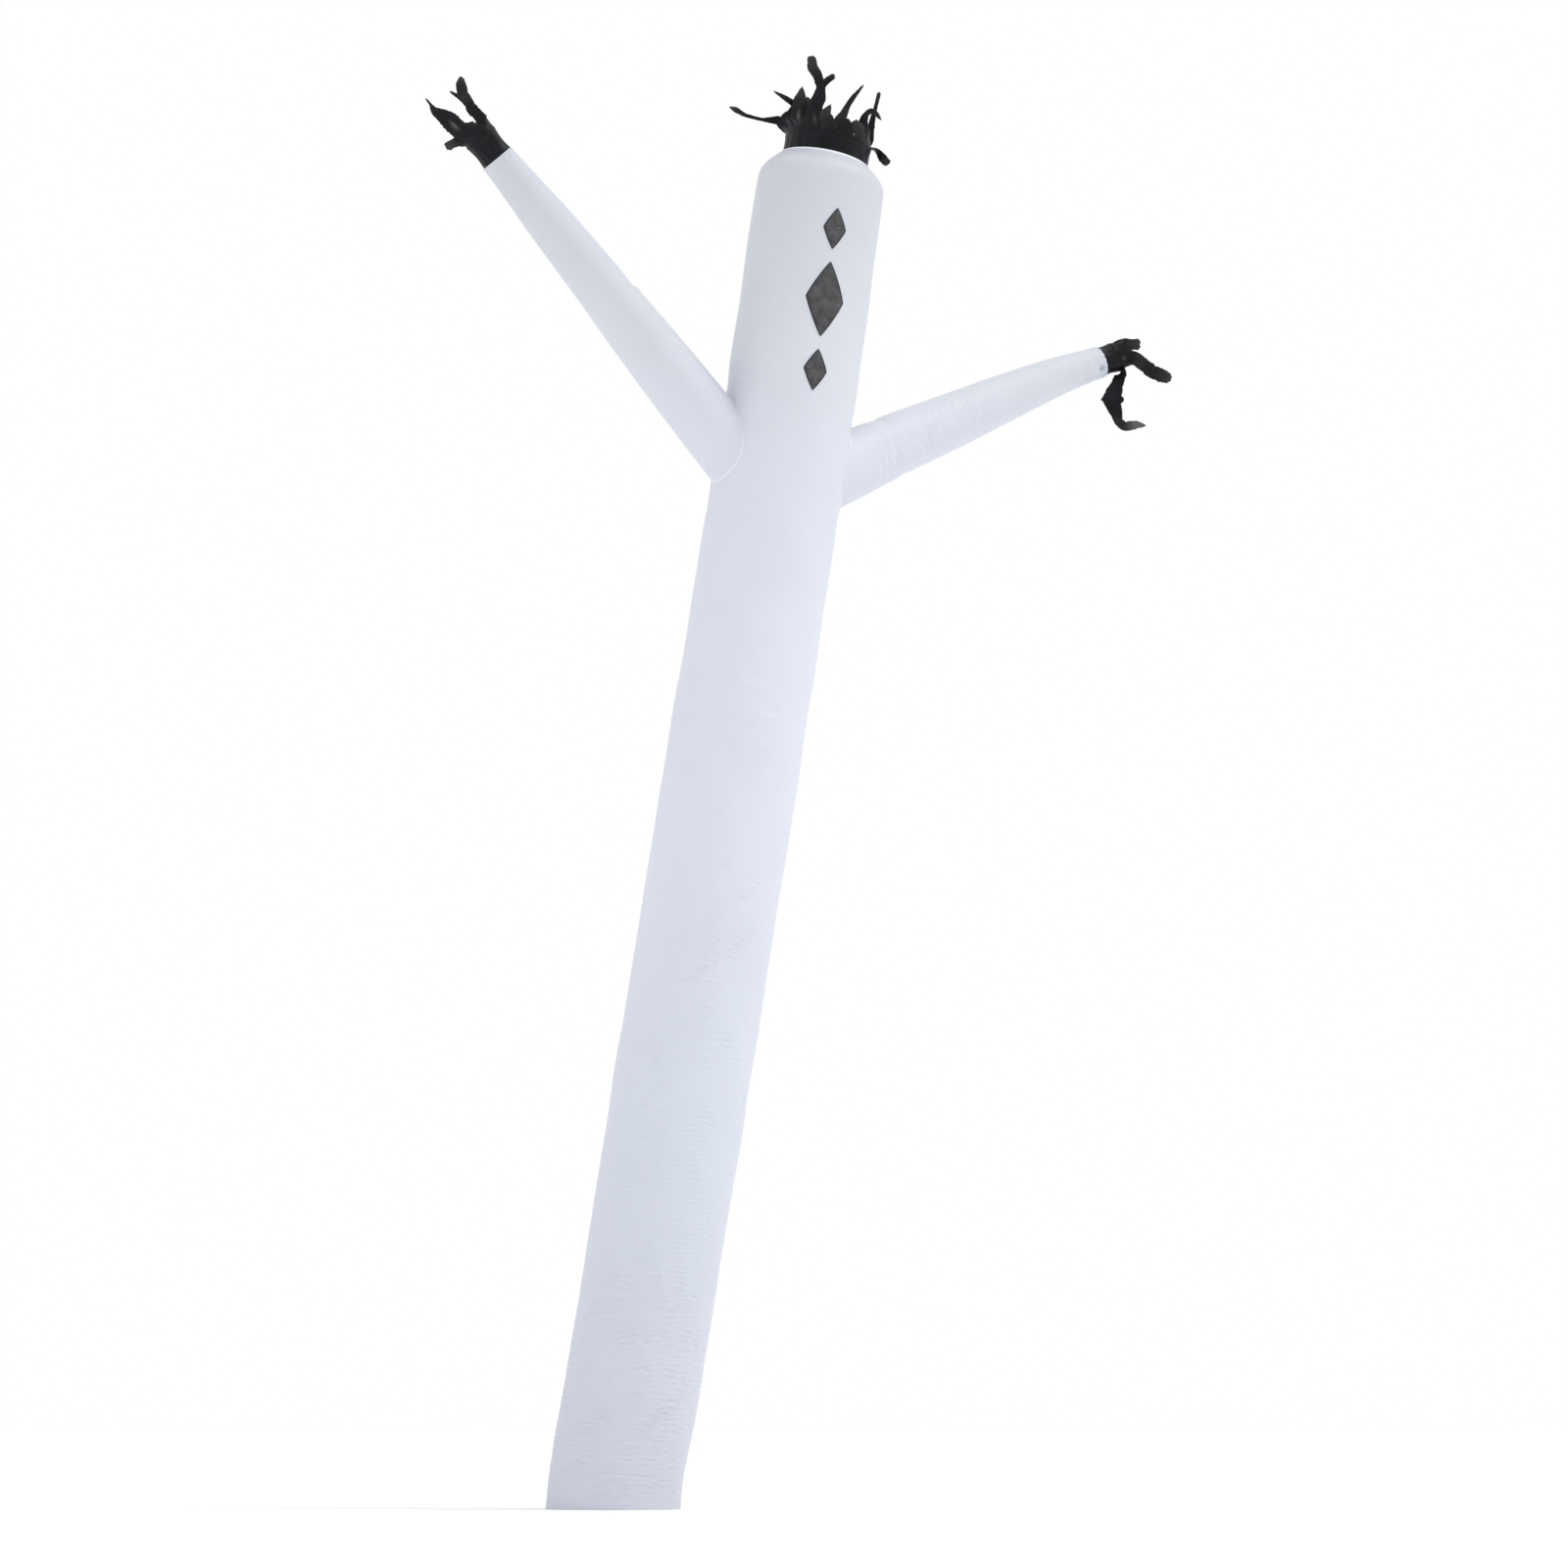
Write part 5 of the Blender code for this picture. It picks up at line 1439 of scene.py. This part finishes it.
# %% Patch nylon
PATCH_CRINKLES = (22.0, 105.0, 1.0)  # crinkles to a metre, round the body and up it
PATCH_CRINKLE_HEIGHT = 0.003
PATCH_GREYS = ("#2C2C2B", "#59595A")
PATCH_EDGE_COLOUR = "#1B1C1F"
COATING_IOR = 1.50


def make_patch_nylon():
    """Dark coated nylon, greyer in the middle than along its edge."""
    made, tree, shader = new_material("coated_nylon_charcoal")
    cloth = add_node(tree, "ShaderNodeUVMap", uv_map=UV_NAME).outputs["UV"]
    squeezed = add_node(tree, "ShaderNodeMapping", {"Vector": cloth,
                                                    "Scale": PATCH_CRINKLES}).outputs[0]
    crinkles = noise(tree, squeezed, 1.0, Detail=3.0, Distortion=1.2)
    worn = noise(tree, cloth, 26.0, Detail=4.0, Roughness=0.6)
    grey = mix(tree, remap(tree, worn, 0.30, 0.75), *map(linear, PATCH_GREYS))
    coloured = mix(tree, kept(tree, "edge"), grey, linear(PATCH_EDGE_COLOUR))
    fill(tree, shader, {"Base Color": coloured, "Roughness": remap(tree, worn, 0, 1, 0.28, 0.48),
                        "IOR": COATING_IOR, "Specular IOR Level": 0.40})
    raise_bumps(tree, shader, (crinkles, 0.55, PATCH_CRINKLE_HEIGHT))
    return made


patch_nylon = make_patch_nylon()
print("patch nylon:", len(patch_nylon.node_tree.nodes), "nodes")

# %% Patches
Patch = namedtuple("Patch", "node along around height width")
PATCHES = (Patch("patch_upper", 4.490, 266, 0.150, 0.085),
           Patch("patch_middle", 4.235, 266, 0.270, 0.140),
           Patch("patch_lower", 3.980, 266, 0.150, 0.085))
PATCH_TURNS = 120
PATCH_RINGS = 22
PATCH_ROUNDING = 1.12        # 1 is a lozenge with sharp tips, 2 an oval
PATCH_LIFT = 0.0006          # m between the body and the patch
PATCH_WALL = 0.0012
PATCH_EDGE = 0.006           # m, the turned-in and stitched edge
PATCH_PUFF = 0.0010          # m that the middle stands out further than the edge
PATCH_CALM = 0.012           # m over which the creases start inside the edge
PATCH_DEEPEST = 0.0012       # m, so that no crease reaches the body
HEAD_RADIUS = 0.227          # m, about, for turning metres into degrees
PATCH_ZONES = (Zone(-0.13, 0.13, 60, 0.045, 0.013, 0.0010, 6),)
PATCH_STRENGTHS = ((0, 1), (360, 1))
PATCH_FIELD = np.linspace(-0.14, 0.14, 160)  # places up a patch where its creases are pressed
PATCH_STEP = 6.0             # degrees between them, round the whole head


def lozenge(row, share, turn):
    """A place on a patch: across and up from its middle, in metres."""
    wide = row.width / 2
    tall = row.height / 2
    reach = ((np.abs(np.cos(turn)) / wide) ** PATCH_ROUNDING
             + (np.abs(np.sin(turn)) / tall) ** PATCH_ROUNDING) ** (-1 / PATCH_ROUNDING)
    return share * reach * np.cos(turn), share * reach * np.sin(turn), reach


def body_relief(along, around):
    """The height of the body's creases anywhere on it."""
    column = np.interp(around % 360, np.append(arounds, 360), np.arange(BODY_SIDES + 1))
    left = np.floor(column).astype(int) % BODY_SIDES
    part = column - np.floor(column)
    row = np.interp(along, BODY_ROWS, np.arange(len(BODY_ROWS)))
    low = np.clip(row.astype(int), 0, len(BODY_ROWS) - 2)
    lift = row - low
    at = [relief[low + up, (left + over) % BODY_SIDES] for up in (0, 1) for over in (0, 1)]
    below = at[0] * (1 - part) + at[1] * part
    above = at[2] * (1 - part) + at[3] * part
    return below * (1 - lift) + above * lift


def make_patch(row):
    """A lozenge of coated nylon that follows the head, creases and all."""
    # Equal angles would crowd the sides and starve the tips, so the turns follow the outline.
    even = np.linspace(0, 2 * math.pi, PATCH_TURNS, endpoint=False)
    turn = np.arctan2(np.sin(even) * row.height, np.cos(even) * row.width)[None]
    share = np.linspace(1, 0.02, PATCH_RINGS)[:, None]
    across, up, reach = lozenge(row, share, turn)
    steps = np.arange(0, 360, PATCH_STEP)
    field = np.zeros((len(PATCH_FIELD), len(steps)))
    crinkle(field, PATCH_FIELD, steps, BODY_RADIUS, PATCH_ZONES, PATCH_STRENGTHS)
    around = row.around + np.degrees(across / HEAD_RADIUS)
    column = np.round((around % 360) / PATCH_STEP).astype(int) % len(steps)
    rise = field[np.clip(np.searchsorted(PATCH_FIELD, up), 0, len(PATCH_FIELD) - 1), column]
    inside = (1 - share) * reach
    rise = np.maximum(rise * np.clip(inside / PATCH_CALM, 0, 1), -PATCH_DEEPEST)
    base = body_relief(row.along + up, around) + PATCH_LIFT
    puff = PATCH_PUFF * np.clip(inside / PATCH_EDGE, 0, 1)
    outer = body.place(row.along + up, around, base + PATCH_WALL + puff + rise)
    inner = body.place(row.along + up, around, base)
    count = PATCH_RINGS * PATCH_TURNS
    step = np.arange(PATCH_TURNS)
    beside = (step + 1) % PATCH_TURNS
    last = count - PATCH_TURNS
    faces = [list(face) for face in grid_faces(PATCH_RINGS, PATCH_TURNS, 0, True)]
    faces += [list(face) for face in grid_faces(PATCH_RINGS, PATCH_TURNS, count, False)]
    faces += [[a, count + a, count + b, b] for a, b in zip(step, beside)]
    faces.append(list(last + step))
    faces.append(list(count + last + step)[::-1])
    uv = np.stack(np.broadcast_arrays(across, up), axis=-1).reshape(-1, 2)
    made = make_mesh(row.node + "_cloth", np.vstack([outer.reshape(-1, 3), inner.reshape(-1, 3)]),
                     faces, patch_nylon)
    finish_mesh(made, np.vstack([uv, uv]))
    edge = np.exp(-(inside / PATCH_EDGE) ** 2).ravel()
    set_attribute(made, "edge", np.concatenate([edge, edge]))
    return made, outer


patches_made, patch_grids = zip(*[make_patch(row) for row in PATCHES])
print("patches:", [triangles(made) for made in patches_made], "triangles")

# %% [markdown]
# ## Stitches
#
# Thread is what turns shapes into sewn goods. A lockstitch shows as a row of short threads, each
# of which rises out of one needle hole and dips into the next. Polyester thread is rounder and
# glossier than the cloth, so each stitch is a small highlight when one comes near. The rows run
# where the cloth is sewn: the hems, the seam up the back, the roots of the arms, the cuffs, the
# band and the edges of the patches. They follow rows or columns of the grids made above.

# %% Sewing thread
STITCH_PITCH = 0.0045        # m from one needle hole to the next
STITCH_SHARE = 0.74          # how much of that shows as thread
THREAD_RADIUS = 0.00045      # m
THREAD_CREST = 1.6           # how far out a stitch rises, in thread radii
THREAD_BED = 0.4             # how far it sinks into the cloth
TWISTS = 900.0               # turns of the thread to a metre, about
TWIST_HEIGHT = 0.0001
POLYESTER_IOR = 1.57
STITCH_FACES = ((0, 2, 4), (0, 4, 3), (0, 3, 5), (0, 5, 2),
                (1, 4, 2), (1, 3, 4), (1, 5, 3), (1, 2, 5))
BODY_STITCHED = (1, 4, -2, -4)  # rows of each grid that are sewn, from its foot or its rim
ARM_STITCHED = (4, 6, -3)
SLEEVE_STITCHED = (4, -3)
SEAM_ROWS = slice(6, -4)     # and the rows between which the back seam's stitches run


def make_thread(name, dark, light):
    """Twisted polyester thread between two tones, with a soft gloss from its smooth filaments."""
    made, tree, shader = new_material(name)
    place = add_node(tree, "ShaderNodeTexCoord").outputs["Object"]
    tone = mix(tree, noise(tree, place, 240.0), linear(dark), linear(light))
    twist = add_node(tree, "ShaderNodeTexWave", {"Vector": place, "Scale": TWISTS,
                                                 "Distortion": 1.0},
                     bands_direction="DIAGONAL").outputs["Fac"]
    fill(tree, shader, {"Base Color": tone, "Roughness": 0.38, "IOR": POLYESTER_IOR})
    raise_bumps(tree, shader, (twist, 0.4, TWIST_HEIGHT))
    return made


def closed(loop):
    """A row of a grid that ends where it starts."""
    return np.vstack([loop, loop[:1]])


def make_stitches(name, paths, thread):
    """Stitches along paths on the cloth. A path is its points and which way is out at each."""
    sets = []
    for path, outward in paths:
        far = np.concatenate([[0.0], np.cumsum(np.linalg.norm(np.diff(path, axis=0), axis=1))])
        middles = (np.arange(int(far[-1] / STITCH_PITCH)) + 0.5) * STITCH_PITCH
        reach = STITCH_PITCH * STITCH_SHARE / 2
        start, end, out = [np.stack([np.interp(places, far, column) for column in values.T], -1)
                           for places, values in ((middles - reach, path), (middles + reach, path),
                                                  (middles, outward))]
        out = unit(out)
        over = unit(np.cross(end - start, out))
        middle = (start + end) / 2
        sets.append(np.stack([
            start, end, middle + over * THREAD_RADIUS, middle - over * THREAD_RADIUS,
            middle + out * THREAD_CREST * THREAD_RADIUS,
            middle - out * THREAD_BED * THREAD_RADIUS], axis=1))
    points = np.vstack(sets)
    faces = np.arange(len(points))[:, None, None] * 6 + np.array(STITCH_FACES)[None]
    made = make_mesh(name, points, faces.reshape(-1, 3), thread)
    made.data.shade_smooth()
    return made


def round_rows(grid, rows):
    """Rows round a grid as paths, with their outward directions."""
    loops = [closed(grid[row]) for row in rows]
    return [(loop, loop - loop.mean(axis=0)) for loop in loops]


white_thread = make_thread("polyester_thread_white", "#CFD3DC", "#E8EBF2")
black_thread = make_thread("polyester_thread_black", "#08090B", "#1A1C1F")
seam_columns = np.flatnonzero(on_seam)
seam_out = body_grid[SEAM_ROWS, seam_columns[0]] - body.frame(BODY_ROWS[SEAM_ROWS])[0]
body_stitches = make_stitches(
    "body_stitches", round_rows(body_grid, BODY_STITCHED)
    + [(body_grid[SEAM_ROWS, column], seam_out) for column in seam_columns], white_thread)
left_stitches = make_stitches(
    "arm_left_stitches", round_rows(left_grid, ARM_STITCHED), white_thread)
right_stitches = make_stitches(
    "arm_right_stitches", round_rows(right_grid, ARM_STITCHED), white_thread)
band_stitches = make_stitches(
    "hair_band_stitches", round_rows(band_grid, SLEEVE_STITCHED), black_thread)
left_cuff_stitches = make_stitches(
    "cuff_left_stitches", round_rows(left_cuff_grid, SLEEVE_STITCHED), black_thread)
right_cuff_stitches = make_stitches(
    "cuff_right_stitches", round_rows(right_cuff_grid, SLEEVE_STITCHED), black_thread)
patch_stitches = []
for row, grid in zip(PATCHES, patch_grids):
    loop = closed(grid[1])
    outward = loop - body.frame(np.full(len(loop), row.along))[0]
    patch_stitches.append(make_stitches(row.node + "_stitches", [(loop, outward)], black_thread))
stitches = [body_stitches, left_stitches, right_stitches, band_stitches, left_cuff_stitches,
            right_cuff_stitches, *patch_stitches]
print("stitches:", sum(triangles(made) for made in stitches) // len(STITCH_FACES))

# %% [markdown]
# ## Everything on the frame
#
# Each piece rides on the model's one body, and the solids that it stands for are hidden. Each
# tube prints what size of flat cloth it was cut from before it was sewn.

# %% Pieces on the frame
def settle(made, slot, *nodes):
    """Put a piece on the model's one body, and hide the solids that it stands for. Its slot is not
    used.
    """
    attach(made, "root")
    if nodes:
        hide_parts(*nodes)


CUT_STEPS = 200


def cut_size(tube, low, high):
    """The width, length and area of the flat cloth of a tube between two places."""
    places = np.linspace(low, high, CUT_STEPS)
    girths = 2 * math.pi * tube.radius(places, 0.0)
    area = float(np.sum((girths[1:] + girths[:-1]) / 2 * np.diff(places)))
    return (float(girths.max()), high - low), min(area, float(girths.max()) * (high - low))


def declare_tube(made, tube, low, high):
    """Say what flat cloth a tube was cut from."""
    flat, area = cut_size(tube, low, high)
    print("%-18s cut %.3f x %.3f m, %.3f m2" % (made.name, *flat, area))


def declare_fringe(radius, strips):
    """Add up the area of flat cloth that a fringe was cut from, without printing or keeping it."""
    girth = 2 * math.pi * radius
    area = girth * RING_HEIGHT
    for row in strips:
        ends = np.cumsum([0.0] + [leg.length for leg in row.legs])
        widths = np.array([2 * radius * math.sin(math.radians(row.arc / 2))]
                          + [leg.width for leg in row.legs])
        area += float(np.sum((widths[1:] + widths[:-1]) / 2 * np.diff(ends)))


settle(body_cloth, "white_nylon", "body_tube")
settle(left_made, "white_nylon", "arm_left")
settle(right_made, "white_nylon", "arm_right")
settle(left_cuff_made, "black_nylon", "cuff_left")
settle(right_cuff_made, "black_nylon", "cuff_right")
settle(band_made, "black_nylon", "hair_band")
settle(hair_made, "black_nylon", "hair_strips")
settle(left_fingers_made, "black_nylon", "fingers_left")
settle(right_fingers_made, "black_nylon", "fingers_right")
for thread in (body_stitches, left_stitches, right_stitches):
    settle(thread, "white_nylon")
for thread in (band_stitches, left_cuff_stitches, right_cuff_stitches):
    settle(thread, "black_nylon")
for row, made, thread in zip(PATCHES, patches_made, patch_stitches):
    settle(made, "dark_patch_nylon", row.node)
    settle(thread, "dark_patch_nylon")
declare_tube(body_cloth, body, 0.0, BODY_LENGTH)
declare_tube(left_made, left_arm, 0.0, ARM_LENGTH)
declare_tube(right_made, right_arm, 0.0, ARM_LENGTH)
declare_tube(left_cuff_made, left_cuff, -SEAM_LAP, LEFT_CUFF.length)
declare_tube(right_cuff_made, right_cuff, -SEAM_LAP, RIGHT_CUFF.length)
declare_tube(band_made, band_tube, 0.0, band_height)
declare_fringe(band_radius, HAIR_STRIPS)
declare_fringe(LEFT_CUFF.end, LEFT_FINGERS)
declare_fringe(RIGHT_CUFF.end, RIGHT_FINGERS)
